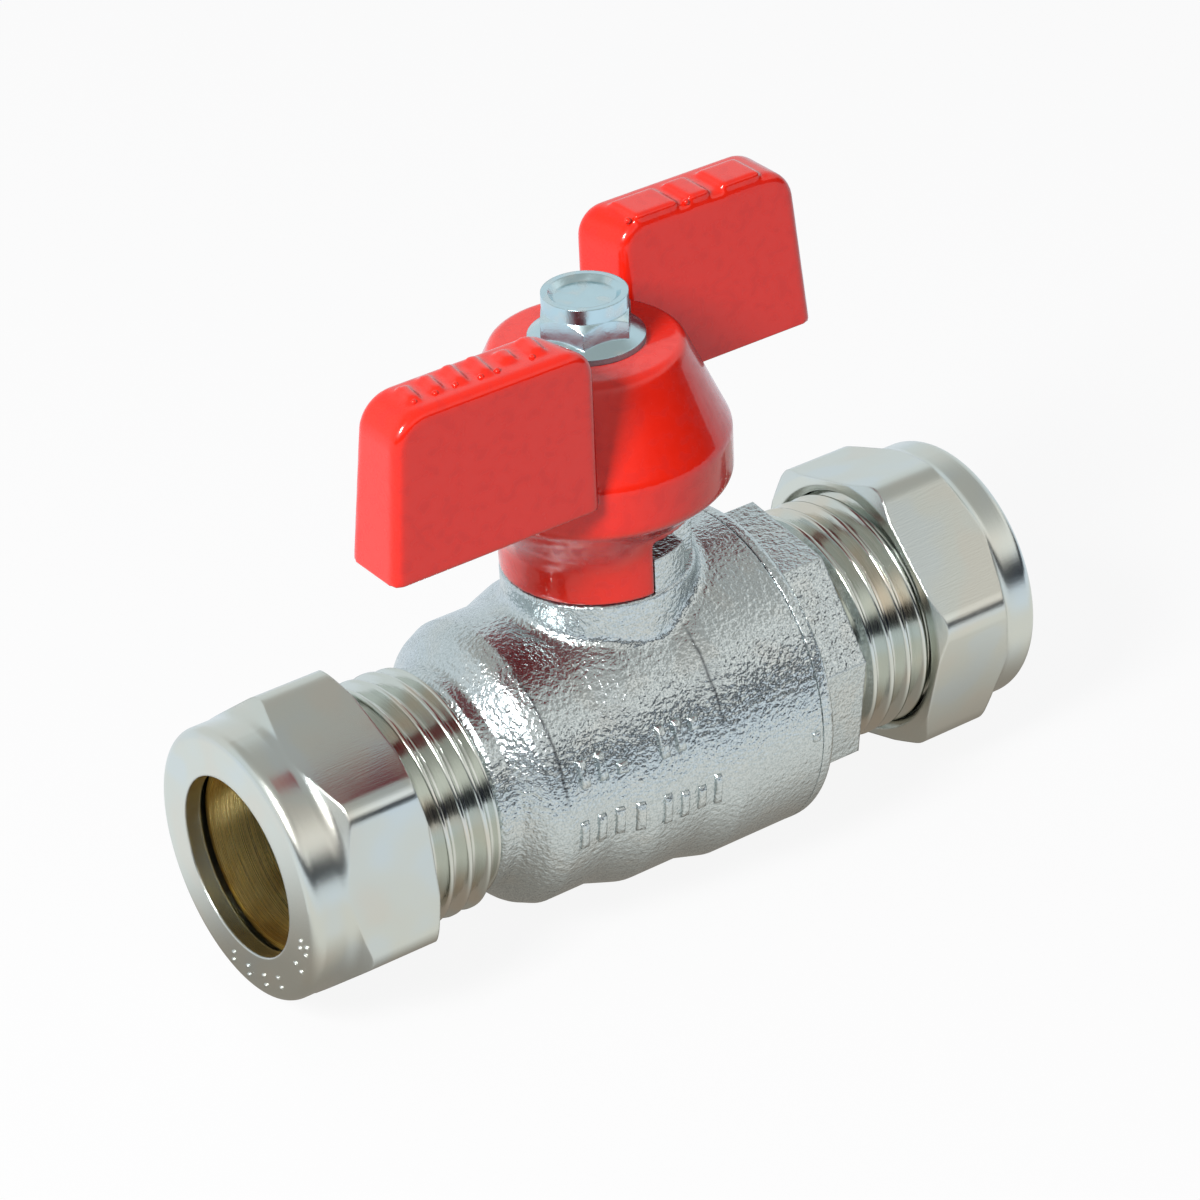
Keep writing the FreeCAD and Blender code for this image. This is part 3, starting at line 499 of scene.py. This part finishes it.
def red_paint(colours):
    material, tree, shader = new_material("red_paint", Metallic=0.0, Coat_Weight=0.65,
                                          Coat_Roughness=0.03, Specular_IOR_Level=0.3)
    tone = use_group(tree, tone_group, Base=tuple(colours.paint), Warm=DEEP_PAINT,
                     Patch=0.9 * MM, Amount=0.35)
    grain = use_group(tree, blast_group, Size=0.5 * MM)
    seen = tree.nodes.new("ShaderNodeLightPath").outputs
    # Painted shade: the paint is darker where it is seen mirrored in the metal
    tree.feed(shader, "Base Color", tree.mix(
        seen["Is Glossy Ray"], tone["Color"], PAINT_SHADE_MIRRORED))
    tree.feed(shader, "Roughness", tree.spread(tone["Cloud"], 0.2, 0.3))
    bump(tree, shader, grain["Height"], FINE_HEIGHT, strength=0.2)
    return material


def bare_brass(colours):
    material, tree, shader = new_material("bare_brass", Metallic=1.0)
    tone = use_group(tree, tone_group, Base=tuple(colours.brass), Warm=(0.60, 0.38, 0.12),
                     Patch=3 * MM, Amount=0.6)
    rings = use_group(tree, turned_group)
    tree.feed(shader, "Base Color", tone["Color"])
    tree.feed(shader, "Roughness", tree.spread(rings["Height"], 0.22, 0.36))
    bump(tree, shader, rings["Height"], FINE_HEIGHT, strength=0.4)
    return material


def bright_zinc(colours):
    material, tree, shader = new_material("bright_zinc", Metallic=1.0)
    tone = use_group(tree, tone_group, Base=tuple(colours.zinc), Warm=(0.72, 0.80, 0.80),
                     Patch=1.5 * MM, Amount=0.6)
    grain = use_group(tree, blast_group, Size=0.2 * MM)
    edge = use_group(tree, edge_group, Reach=0.15 * MM)
    tree.feed(shader, "Base Color", tone["Color"])
    tree.feed(shader, "Roughness", tree.spread(tone["Cloud"], 0.16, 0.28))
    bump(tree, shader, grain["Height"], FINE_HEIGHT, strength=0.3, normal=edge["Normal"])
    return material


def polished_chrome():
    material, tree, shader = new_material("polished_chrome", Metallic=1.0)
    tone = use_group(tree, tone_group, Base=(0.70, 0.71, 0.72), Warm=(0.62, 0.6, 0.56),
                     Patch=4 * MM, Amount=0.3)
    tree.feed(shader, "Base Color", tone["Color"])
    tree.feed(shader, "Roughness", tree.spread(tone["Cloud"], 0.05, 0.12))
    return material


def seat_plastic():
    material, tree, shader = new_material("seat_plastic", Metallic=0.0)
    tone = use_group(tree, tone_group, Base=(0.86, 0.86, 0.83), Warm=(0.76, 0.75, 0.7),
                     Patch=2 * MM, Amount=0.4)
    rings = use_group(tree, turned_group)
    tree.feed(shader, "Base Color", tone["Color"])
    tree.feed(shader, "Roughness", tree.spread(tone["Cloud"], 0.4, 0.55))
    bump(tree, shader, rings["Height"], FINE_HEIGHT, strength=0.2)
    return material


def seal_rubber():
    material, tree, shader = new_material("seal_rubber", Metallic=0.0)
    tone = use_group(tree, tone_group, Base=(0.018, 0.018, 0.018), Warm=(0.035, 0.035, 0.035),
                     Patch=1 * MM, Amount=0.5)
    tree.feed(shader, "Base Color", tone["Color"])
    tree.feed(shader, "Roughness", tree.spread(tone["Cloud"], 0.5, 0.65))
    return material


# Meshes

def new_piece(name, mesh, material, body, slot, *replaced):
    """An object for this mesh that rides on its body. The slot argument is not used."""
    piece = bpy.data.objects.new(name, mesh)
    bpy.context.scene.collection.objects.link(piece)
    piece.data.materials.clear()
    piece.data.materials.append(material)
    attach(piece, body)
    if replaced:
        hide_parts(*replaced)
    return piece


def finish_node(node, material):
    """Give a solid that keeps its own shape its finish."""
    slots = NODES[node].data.materials
    slots.clear()
    slots.append(material)


# Rows of a thread's turn, those of its flat crest and root, and its steps round the neck
THREAD_ROWS = 16
CREST_ROWS = 2
ROOT_ROWS = 2
THREAD_SIDES = 144
# The relief that ends a thread, the sleeve's inside and the neck's core under it
RELIEF_DEPTH = 0.65 * MM
SLEEVE_INSIDE = 9.12 * MM
CORE_RADIUS = 9.2 * MM


def thread_level(row):
    """Height of the thread's section at this row, from 0 at the root to 1 at the crest."""
    row = row % THREAD_ROWS
    flank = (THREAD_ROWS - CREST_ROWS - ROOT_ROWS) / 2
    if row <= CREST_ROWS:
        return 1.0
    if row <= CREST_ROWS + flank:
        return 1.0 - (row - CREST_ROWS) / flank
    if row <= CREST_ROWS + flank + ROOT_ROWS:
        return 0.0
    return (row - CREST_ROWS - flank - ROOT_ROWS) / flank


def thread_sleeve(name, sizes, tip, foot, start):
    """The right-handed thread from a neck's tip to its foot, as a closed sleeve."""
    low, high = min(tip, foot), max(tip, foot)
    turns = math.ceil((high - low) / sizes.pitch) + 1
    mesh = bmesh.new()
    rows = []
    for row in range(-THREAD_ROWS, turns * THREAD_ROWS + 1):
        line = []
        for side in range(THREAD_SIDES + 1):
            angle = math.tau * side / THREAD_SIDES
            along = low + sizes.pitch * (row / THREAD_ROWS + angle / math.tau)
            x = min(max(along, low), high)
            level = thread_level(THREAD_ROWS * ((x - low) / sizes.pitch - angle / math.tau))
            radius = min(sizes.crest - sizes.depth * (1.0 - level),
                         sizes.crest - sizes.chamfer + abs(x - tip),
                         sizes.crest - RELIEF_DEPTH + abs(x - foot))
            angle += start
            line.append(mesh.verts.new((x, radius * math.cos(angle), radius * math.sin(angle))))
        rows.append(line)
    for lower, upper in zip(rows, rows[1:]):
        for side in range(THREAD_SIDES):
            mesh.faces.new((lower[side], lower[side + 1], upper[side + 1], upper[side]))
    bmesh.ops.remove_doubles(mesh, verts=mesh.verts, dist=WELD)
    rims = [edge for edge in mesh.edges if edge.is_boundary]
    made = bmesh.ops.extrude_edge_only(mesh, edges=rims)["geom"]
    for vertex in (item for item in made if isinstance(item, bmesh.types.BMVert)):
        radius = math.hypot(vertex.co.y, vertex.co.z)
        vertex.co.y *= SLEEVE_INSIDE / radius
        vertex.co.z *= SLEEVE_INSIDE / radius
    bmesh.ops.bridge_loops(mesh, edges=[edge for edge in mesh.edges if edge.is_boundary])
    bmesh.ops.recalc_face_normals(mesh, faces=mesh.faces)
    return mesh_from(name, mesh)


def mesh_from(name, mesh, smooth=True):
    """Turn a bmesh into mesh data."""
    data = bpy.data.meshes.new(name)
    mesh.to_mesh(data)
    mesh.free()
    for face in data.polygons:
        face.use_smooth = smooth
    return data


def turned_down(node, name, tip, foot):
    """A solid's mesh with its neck's thread turned down to the core under the sleeve."""
    data = NODES[node].data.copy()
    data.name = name
    low, high = min(tip, foot) - SLACK, max(tip, foot) + SLACK
    for vertex in data.vertices:
        x, y, z = vertex.co
        radius = math.hypot(y, z)
        if low < x < high and radius > CORE_RADIUS:
            vertex.co = (x, y * CORE_RADIUS / radius, z * CORE_RADIUS / radius)
    return data


def skinned(data, voxel, passes):
    """A closed mesh's outer skin in even facets, with its edges and corners softened."""
    draft = bpy.data.objects.new("draft", data)
    bpy.context.scene.collection.objects.link(draft)
    skin = draft.modifiers.new("skin", "REMESH")
    skin.mode = "VOXEL"
    skin.voxel_size = voxel
    soft = draft.modifiers.new("soft", "SMOOTH")
    soft.factor = 0.5
    soft.iterations = passes
    ready = draft.evaluated_get(bpy.context.evaluated_depsgraph_get())
    made = bpy.data.meshes.new_from_object(ready)
    bpy.data.objects.remove(draft)
    return made


# Raised marks on the wings' tops in millimetres: place along and across, length, width,
# turn in degrees and height
WING_MARKS = (
    (-21.6, -7.5, 2.2, 0.8, 82.0, 0.40), (-19.4, -7.3, 2.4, 0.8, 82.0, 0.40),
    (-17.2, -7.2, 2.7, 0.8, 82.0, 0.45), (-15.0, -7.3, 2.8, 0.8, 82.0, 0.45),
    (-12.6, -7.3, 1.6, 0.9, 82.0, 0.40), (-10.1, -7.2, 2.6, 1.0, 82.0, 0.45),
    (11.0, 6.9, 4.2, 3.6, 0.0, 0.45), (15.3, 6.9, 2.0, 3.6, 0.0, 0.45),
    (19.6, 6.9, 3.7, 3.6, 0.0, 0.45),
)
# Small pips beside them: place along and across
WING_PIPS = ((-21.9, -8.7), (-19.9, -8.6), (-18.0, -8.5), (-15.8, -8.7), (-14.3, -8.7),
             (-11.0, -8.6), (-19.3, -6.1), (8.4, 5.6), (14.0, 5.3))
MARK_ROOT = 0.6 * MM
PIP_RADIUS = 0.28 * MM
# Facets of the handle's skin, and how often they are evened
HANDLE_VOXEL = 0.22 * MM
HANDLE_PASSES = 5

# The half skirt's outside, its lower edge's sag of paint, and the hub's rim
SKIRT_RADIUS = 8.05 * MM
SKIRT_DROP = 0.26 * MM
RIM_RADIUS = 11.36 * MM
# The flare between them: its lowest and highest place, and how deep it is sunk into both
FLARE_LOW = 17.6 * MM
FLARE_HIGH = 24.4 * MM
FLARE_SINK = 0.5 * MM
# The turn over which it dies out at the skirt's ends
FLARE_FADE = math.radians(30.0)
FLARE_STEPS = 14
FLARE_SIDES = 60


def eased(part):
    """A straight run from 0 to 1 as a soft one."""
    return (1 - math.cos(math.pi * part)) / 2


def skirt_flare(mesh):
    """Blend the rim into the skirt below it, less and less towards the skirt's ends."""
    rings = []
    for side in range(FLARE_SIDES + 1):
        turn = math.pi * (0.5 + side / FLARE_SIDES)
        inward = min(1.0, math.pi * min(side, FLARE_SIDES - side) / FLARE_SIDES / FLARE_FADE)
        reach = (RIM_RADIUS - SKIRT_RADIUS) * eased(inward)
        profile = [(SKIRT_RADIUS - FLARE_SINK, FLARE_LOW)]
        for step in range(FLARE_STEPS + 1):
            part = step / FLARE_STEPS
            profile.append((SKIRT_RADIUS + reach * eased(part),
                            FLARE_LOW + (FLARE_HIGH - FLARE_LOW) * part))
        profile.append((SKIRT_RADIUS - FLARE_SINK, FLARE_HIGH))
        rings.append([mesh.verts.new((radius * math.cos(turn), radius * math.sin(turn), height))
                      for radius, height in profile])
    for first, second in zip(rings, rings[1:]):
        for number in range(len(first)):
            mesh.faces.new((first[number - 1], second[number - 1], second[number], first[number]))
    mesh.faces.new(rings[0])
    mesh.faces.new(reversed(rings[-1]))


def handle_mesh():
    """The handle's casting with its raised marks, its edges softened by thick paint."""
    low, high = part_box("handle")
    top = high.z
    mesh = bmesh.new()
    mesh.from_mesh(NODES["handle"].data)
    bmesh.ops.remove_doubles(mesh, verts=mesh.verts, dist=WELD)
    for vertex in mesh.verts:
        if vertex.co.z < low.z + SLACK:
            vertex.co.z -= SKIRT_DROP
    skirt_flare(mesh)
    bmesh.ops.recalc_face_normals(mesh, faces=mesh.faces)
    for along, across, length, width, turn, height in WING_MARKS:
        thick = height * MM + MARK_ROOT
        place = Matrix.Translation((along * MM, across * MM, top + height * MM - thick / 2))
        lay = place @ Matrix.Rotation(math.radians(turn), 4, "Z")
        shape = Matrix.Diagonal((length * MM, width * MM, thick, 1.0))
        bmesh.ops.create_cube(mesh, size=1.0, matrix=lay @ shape)
    skin = skinned(mesh_from("handle_draft", mesh), HANDLE_VOXEL, HANDLE_PASSES)
    mesh = bmesh.new()
    mesh.from_mesh(skin)
    for along, across in WING_PIPS:
        place = Matrix.Translation((along * MM, across * MM, top))
        bmesh.ops.create_icosphere(mesh, subdivisions=3, radius=PIP_RADIUS, matrix=place)
    return mesh_from("handle_casting", mesh)


# Rows of a pad's mesh, how square its edge is, the radius that its arc is laid out on, how
# deep its foot is sunk, and where the rays that find the skin start
PAD_ROWS = 8
PAD_SQUARE = 4
PAD_BASE = 13.5 * MM
PAD_ROOT = 0.15 * MM
RAY_START = 30 * MM

# Raised pads on the body's barrel in millimetres and degrees: place along, turn, length
# round the barrel, width along it and height
BODY_PADS = (
    (-10.4, 161.0, 3.0, 0.9, 0.45), (-8.6, 161.0, 3.0, 0.9, 0.45), (-6.9, 164.0, 1.2, 1.0, 0.45),
    (-3.2, 160.0, 3.2, 0.9, 0.45), (-1.6, 160.0, 3.2, 0.9, 0.45), (0.0, 158.0, 1.3, 1.0, 0.45),
    (-10.9, 186.0, 3.4, 0.9, 0.30), (-9.2, 186.0, 3.4, 0.9, 0.30), (-7.5, 186.0, 3.4, 0.9, 0.30),
    (-5.8, 186.0, 3.4, 0.9, 0.30), (-3.4, 186.0, 3.4, 0.9, 0.30), (-1.7, 187.0, 3.0, 0.9, 0.30),
    (0.0, 187.0, 2.6, 0.9, 0.30), (1.5, 186.0, 3.4, 0.7, 0.30), (11.2, 180.0, 1.0, 0.8, 0.2),
)


def skin_radius(skin, along, turn):
    """Distance of a body's skin from the pipe's axis at this place and turn."""
    way = Vector((0.0, math.cos(turn), math.sin(turn)))
    hit = skin.ray_cast(Vector((along, 0.0, 0.0)) + way * RAY_START, -way)
    return Vector((0.0, hit[0].y, hit[0].z)).length


def pad_on(mesh, skin, along, turn, length, width, height):
    """One soft raised pad on a body's skin, closed below it."""
    layers = []
    for side in (1, -1):
        grid = []
        for row in range(PAD_ROWS + 1):
            line = []
            for column in range(PAD_ROWS + 1):
                across, up = 2 * row / PAD_ROWS - 1, 2 * column / PAD_ROWS - 1
                edge = max(abs(across), abs(up))
                x = along + across * width / 2
                angle = turn + up * length / 2 / PAD_BASE
                level = height * (1 - edge ** PAD_SQUARE) if side > 0 else 0.0
                foot = PAD_ROOT * (edge == 1 or side < 0)
                radius = skin_radius(skin, x, angle) + level - foot
                line.append(mesh.verts.new(
                    (x, radius * math.cos(angle), radius * math.sin(angle))))
            grid.append(line)
        layers.append(grid)
    for grid in layers:
        for lower, upper in zip(grid, grid[1:]):
            for column in range(PAD_ROWS):
                mesh.faces.new((lower[column], lower[column + 1],
                                upper[column + 1], upper[column]))


def body_marks():
    """The pads cast on the barrel, as one mesh."""
    skin = BVHTree.FromPolygons(
        [vertex.co for vertex in NODES["valve_body"].data.vertices],
        [face.vertices for face in NODES["valve_body"].data.polygons])
    mesh = bmesh.new()
    for along, turn, length, width, height in BODY_PADS:
        pad_on(mesh, skin, along * MM, math.radians(turn), length * MM, width * MM, height * MM)
    bmesh.ops.remove_doubles(mesh, verts=mesh.verts, dist=WELD)
    bmesh.ops.recalc_face_normals(mesh, faces=mesh.faces)
    return mesh_from("body_marks", mesh)


DOT_RADIUS = 0.28 * MM
# How deep a dot's middle lies in the nut's face
DOT_SINK = 0.08 * MM
# Radius of the two rings of dots
DOT_RINGS = (9.45 * MM, 10.3 * MM)
# Turn of each pair of dots round the nut's face
NUT_DOTS = (193.0, 198.0, 211.0, 238.0, 253.0, 268.0, 281.0)


def nut_dots(face):
    """Small dots struck round a nut's face."""
    mesh = bmesh.new()
    for turn in NUT_DOTS:
        for radius in DOT_RINGS:
            angle = math.radians(turn)
            place = Matrix.Translation((face + DOT_SINK, radius * math.cos(angle),
                                        radius * math.sin(angle)))
            bmesh.ops.create_icosphere(mesh, subdivisions=1, radius=DOT_RADIUS, matrix=place)
    return mesh_from("nut_dots", mesh, smooth=False)


# Operators, one for each piece or group of like pieces

class VALVE_OT_body(bpy.types.Operator):
    """Give the body its blasted plating and its neck's thread"""
    bl_idname = "valve.body"
    bl_label = "Body"

    def execute(self, context):
        colours, sizes = context.scene.valve_colours, context.scene.valve_thread
        foot = LEFT_END + sizes.length
        shell = turned_down("valve_body", "body_forging", LEFT_END, foot)
        new_piece("body_marks", body_marks(), shared(blasted_nickel, colours), "root",
                  "blasted_nickel")
        new_piece("body_forging", shell, shared(blasted_nickel, colours), "root",
                  "blasted_nickel", "valve_body")
        sleeve = thread_sleeve("left_neck_thread", sizes, LEFT_END, foot, sizes.left_start)
        new_piece("left_neck_thread", sleeve, shared(turned_nickel, colours), "root",
                  "turned_nickel")
        return {"FINISHED"}


class VALVE_OT_connector(bpy.types.Operator):
    """Give the end connector its plating and its neck's thread"""
    bl_idname = "valve.connector"
    bl_label = "End connector"

    def execute(self, context):
        colours, sizes = context.scene.valve_colours, context.scene.valve_thread
        foot = RIGHT_END - sizes.length + RELIEF_DEPTH
        shell = turned_down("end_connector", "connector_forging", RIGHT_END, foot)
        new_piece("connector_forging", shell, shared(blasted_nickel, colours), "root",
                  "blasted_nickel", "end_connector")
        sleeve = thread_sleeve("right_neck_thread", sizes, RIGHT_END, foot, sizes.right_start)
        new_piece("right_neck_thread", sleeve, shared(turned_nickel, colours), "root",
                  "turned_nickel")
        return {"FINISHED"}


class VALVE_OT_nuts(bpy.types.Operator):
    """Give both nuts their satin plating"""
    bl_idname = "valve.nuts"
    bl_label = "Nuts"

    def execute(self, context):
        colours = context.scene.valve_colours
        for node in ("nut_left", "nut_right"):
            low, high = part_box(node)
            face = max(abs(low.x), abs(high.x))
            plating = nut_nickel(colours, node + "_nickel", face - NOSE_START, face - NOSE_END)
            finish_node(node, plating)
            if node == "nut_left":
                new_piece("nut_left_dots", nut_dots(-face), plating, "nut_left",
                          "turned_nickel")
        return {"FINISHED"}


class VALVE_OT_olives(bpy.types.Operator):
    """Give both olives and the stem their bare brass"""
    bl_idname = "valve.olives"
    bl_label = "Olives"

    def execute(self, context):
        brass = bare_brass(context.scene.valve_colours)
        for node in ("olive_left", "olive_right", "stem"):
            finish_node(node, brass)
        return {"FINISHED"}


class VALVE_OT_handle(bpy.types.Operator):
    """Give the handle its marks, its soft edges and its red paint"""
    bl_idname = "valve.handle"
    bl_label = "Handle"

    def execute(self, context):
        new_piece("handle_casting", handle_mesh(), red_paint(context.scene.valve_colours),
                  "rotor", "red_paint", "handle")
        return {"FINISHED"}


class VALVE_OT_screw(bpy.types.Operator):
    """Give the handle's screw its zinc plating"""
    bl_idname = "valve.screw"
    bl_label = "Screw"

    def execute(self, context):
        finish_node("handle_screw", bright_zinc(context.scene.valve_colours))
        return {"FINISHED"}


class VALVE_OT_inside(bpy.types.Operator):
    """Give the ball, the seats, the washer and the seals their finishes"""
    bl_idname = "valve.inside"
    bl_label = "Inside"

    def execute(self, context):
        finish_node("ball", polished_chrome())
        plastic = seat_plastic()
        for node in ("seat_left", "seat_right", "stem_thrust_washer"):
            finish_node(node, plastic)
        rubber = seal_rubber()
        for node in ("connector_seal", "stem_seal_lower", "stem_seal_upper"):
            finish_node(node, rubber)
        return {"FINISHED"}


# The lamp's place, side, power and aim
LAMP_PLACE = (-0.43, -0.15, 0.37)
LAMP_SIDE = 0.16
LAMP_POWER = 3.2
LAMP_AIM = (0.0, 0.0, 0.01)
# The camera's film width in millimetres, and the nearest thing that it sees
FILM_WIDTH = 36.0
NEAREST = 0.01

WHITE = (1.0, 1.0, 1.0)
# The floor by bounced light and to the eye
FLOOR_DARK = (0.35, 0.35, 0.35)
FLOOR_PALE = (0.8, 0.8, 0.8)
# The floor as metal and paint mirror it: a painted shadow under the valve, then before it, behind
# it, far off
FLOOR_SHADOW_MIRRORED = (0.32, 0.29, 0.25)
FLOOR_FRONT = (0.87, 0.86, 0.815)
FLOOR_BACK = (0.94, 0.98, 1.0)
FLOOR_FAR = (0.86, 0.93, 1.0)
# The places across and the distances from the valve between which these tones change
FLOOR_HALVES = (-15 * MM, 15 * MM)
FLOOR_SHADOW_FADE = (8 * MM, 25 * MM)
FLOOR_FADES = (40 * MM, 75 * MM)
# How much of the floor, seen straight or mirrored, is its own glow
FLOOR_GLOW = 0.9
# The room as metal and paint mirror it: panel in front, dark below it, back, ceiling
PANEL_LEFT = (0.86, 0.85, 0.83)
PANEL_RIGHT = (1.0, 0.99, 0.96)
ROOM_DARK = (0.015, 0.018, 0.026)
ROOM_BACK = (0.74, 0.79, 0.81)
ROOM_TOP = (0.45, 0.45, 0.43)
# The directions between which these tones change: along, up, across and up again
PANEL_HALVES = (-0.25, 0.1)
PANEL_FOOT = (0.24, 0.40)
ROOM_HALVES = (-0.2, 0.1)
ROOM_CEILING = (0.52, 0.80)
# The room's soft light
ROOM_LIGHT = (0.37, 0.37, 0.40)
# Half the valve's length, and the gap between it and the floor
HALF_LENGTH = 37 * MM
FLOOR_GAP = 0.05 * MM
FLOOR_SIZE = 2.0


class VALVE_OT_stage(bpy.types.Operator):
    """Set the floor, the light and the camera"""
    bl_idname = "valve.stage"
    bl_label = "Stage"

    def execute(self, context):
        scene = context.scene
        scene.view_settings.view_transform = "Standard"
        self.camera(scene)
        self.floor(scene)
        self.world(scene)
        self.lamp(scene)
        return {"FINISHED"}

    def camera(self, scene):
        stage = scene.valve_stage
        camera = bpy.data.objects.new("camera", bpy.data.cameras.new("camera"))
        scene.collection.objects.link(camera)
        camera.data.lens = stage.lens
        camera.data.sensor_width = FILM_WIDTH
        camera.data.clip_start = NEAREST
        turn = (Matrix.Rotation(stage.turn, 4, "Z") @ Matrix.Rotation(stage.tilt, 4, "X")
                @ Matrix.Rotation(stage.roll, 4, "Z"))
        camera.matrix_world = Matrix.Translation(Vector(stage.eye)) @ turn
        scene.camera = camera

    def lamp(self, scene):
        light = bpy.data.lights.new("key_light", "AREA")
        light.shape = "SQUARE"
        light.size = LAMP_SIDE
        light.energy = LAMP_POWER
        lamp = bpy.data.objects.new("key_light", light)
        scene.collection.objects.link(lamp)
        lamp.location = LAMP_PLACE
        way = Vector(LAMP_AIM) - Vector(LAMP_PLACE)
        lamp.rotation_euler = way.to_track_quat("-Z", "Y").to_euler()

    def floor(self, scene):
        mesh = bmesh.new()
        bmesh.ops.create_grid(mesh, x_segments=1, y_segments=1, size=FLOOR_SIZE)
        floor = bpy.data.objects.new("floor", mesh_from("floor", mesh))
        scene.collection.objects.link(floor)
        floor.location.z = CAD_BOX[0][2] - FLOOR_GAP
        material, tree, shader = new_material("pale_floor", Roughness=0.9)
        seen = tree.nodes.new("ShaderNodeLightPath").outputs
        tree.feed(shader, "Base Color", tree.mix(seen["Is Camera Ray"], FLOOR_DARK, FLOOR_PALE))
        along, across, _ = tree.split(tree.place())
        beyond = tree.math("SUBTRACT", tree.math("ABSOLUTE", along), HALF_LENGTH)
        far = tree.distance(tree.math("MAXIMUM", beyond, 0.0), across)
        near = tree.mix(tree.ramp(across, *FLOOR_HALVES), FLOOR_FRONT, FLOOR_BACK)
        clear = tree.mix(tree.ramp(far, *FLOOR_FADES), near, FLOOR_FAR)
        # Painted shadow: the mirrored floor is darker close under the valve
        mirrored_floor = tree.mix(tree.ramp(far, *FLOOR_SHADOW_FADE), FLOOR_SHADOW_MIRRORED, clear)
        white = tree.add("ShaderNodeEmission", Strength=1.0)
        tree.feed(white, "Color", tree.mix(seen["Is Glossy Ray"], WHITE, mirrored_floor))
        mixed = tree.add("ShaderNodeMixShader")
        straight = tree.math("MAXIMUM", seen["Is Camera Ray"], seen["Is Glossy Ray"])
        tree.feed(mixed, "0", tree.math("MULTIPLY", straight, FLOOR_GLOW))
        tree.links.new(shader.outputs[0], mixed.inputs[1])
        tree.links.new(white.outputs[0], mixed.inputs[2])
        tree.links.new(mixed.outputs[0], tree.nodes["Material Output"].inputs["Surface"])
        floor.data.materials.append(material)

    def world(self, scene):
        world = bpy.data.worlds.new("studio")
        scene.world = world
        world.use_nodes = True
        tree = Tree(world.node_tree)
        seen = tree.nodes.new("ShaderNodeLightPath").outputs
        x, y, z = tree.split(tree.nodes.new("ShaderNodeTexCoord").outputs["Generated"])
        panel = tree.mix(tree.ramp(x, *PANEL_HALVES), PANEL_LEFT, PANEL_RIGHT)
        front = tree.mix(tree.ramp(z, *PANEL_FOOT), ROOM_DARK, panel)
        middle = tree.mix(tree.ramp(y, *ROOM_HALVES), front, ROOM_BACK)
        room = tree.mix(tree.ramp(z, *ROOM_CEILING), middle, ROOM_TOP)
        shown = tree.mix(seen["Is Glossy Ray"], ROOM_LIGHT, room)
        tree.feed(tree.nodes["Background"], "Color", tree.mix(
            seen["Is Camera Ray"], shown, WHITE))


class VALVE_PT_panel(bpy.types.Panel):
    """Lists the valve's settings and its steps"""
    bl_idname = "VALVE_PT_panel"
    bl_label = "Compression ball valve"
    bl_space_type = "VIEW_3D"
    bl_region_type = "UI"
    bl_category = "Valve"

    def draw(self, context):
        for group in (context.scene.valve_thread, context.scene.valve_colours,
                      context.scene.valve_stage):
            for name in group.__annotations__:
                self.layout.prop(group, name)
        for step in STEPS:
            self.layout.operator(step.bl_idname)


STEPS = (VALVE_OT_body, VALVE_OT_connector, VALVE_OT_nuts, VALVE_OT_olives, VALVE_OT_handle,
         VALVE_OT_screw, VALVE_OT_inside, VALVE_OT_stage)
SETTINGS = {"valve_thread": ValveThread, "valve_colours": ValveColours, "valve_stage": ValveStage}


def register():
    for item in (*SETTINGS.values(), *STEPS, VALVE_PT_panel):
        bpy.utils.register_class(item)
    for name, group in SETTINGS.items():
        setattr(bpy.types.Scene, name, PointerProperty(type=group))


def unregister():
    for name in SETTINGS:
        delattr(bpy.types.Scene, name)
    for item in (VALVE_PT_panel, *STEPS, *SETTINGS.values()):
        bpy.utils.unregister_class(item)


def main():
    register()
    for step in STEPS:
        family, name = step.bl_idname.split(".")
        getattr(getattr(bpy.ops, family), name)()


if __name__ == "__main__":
    main()
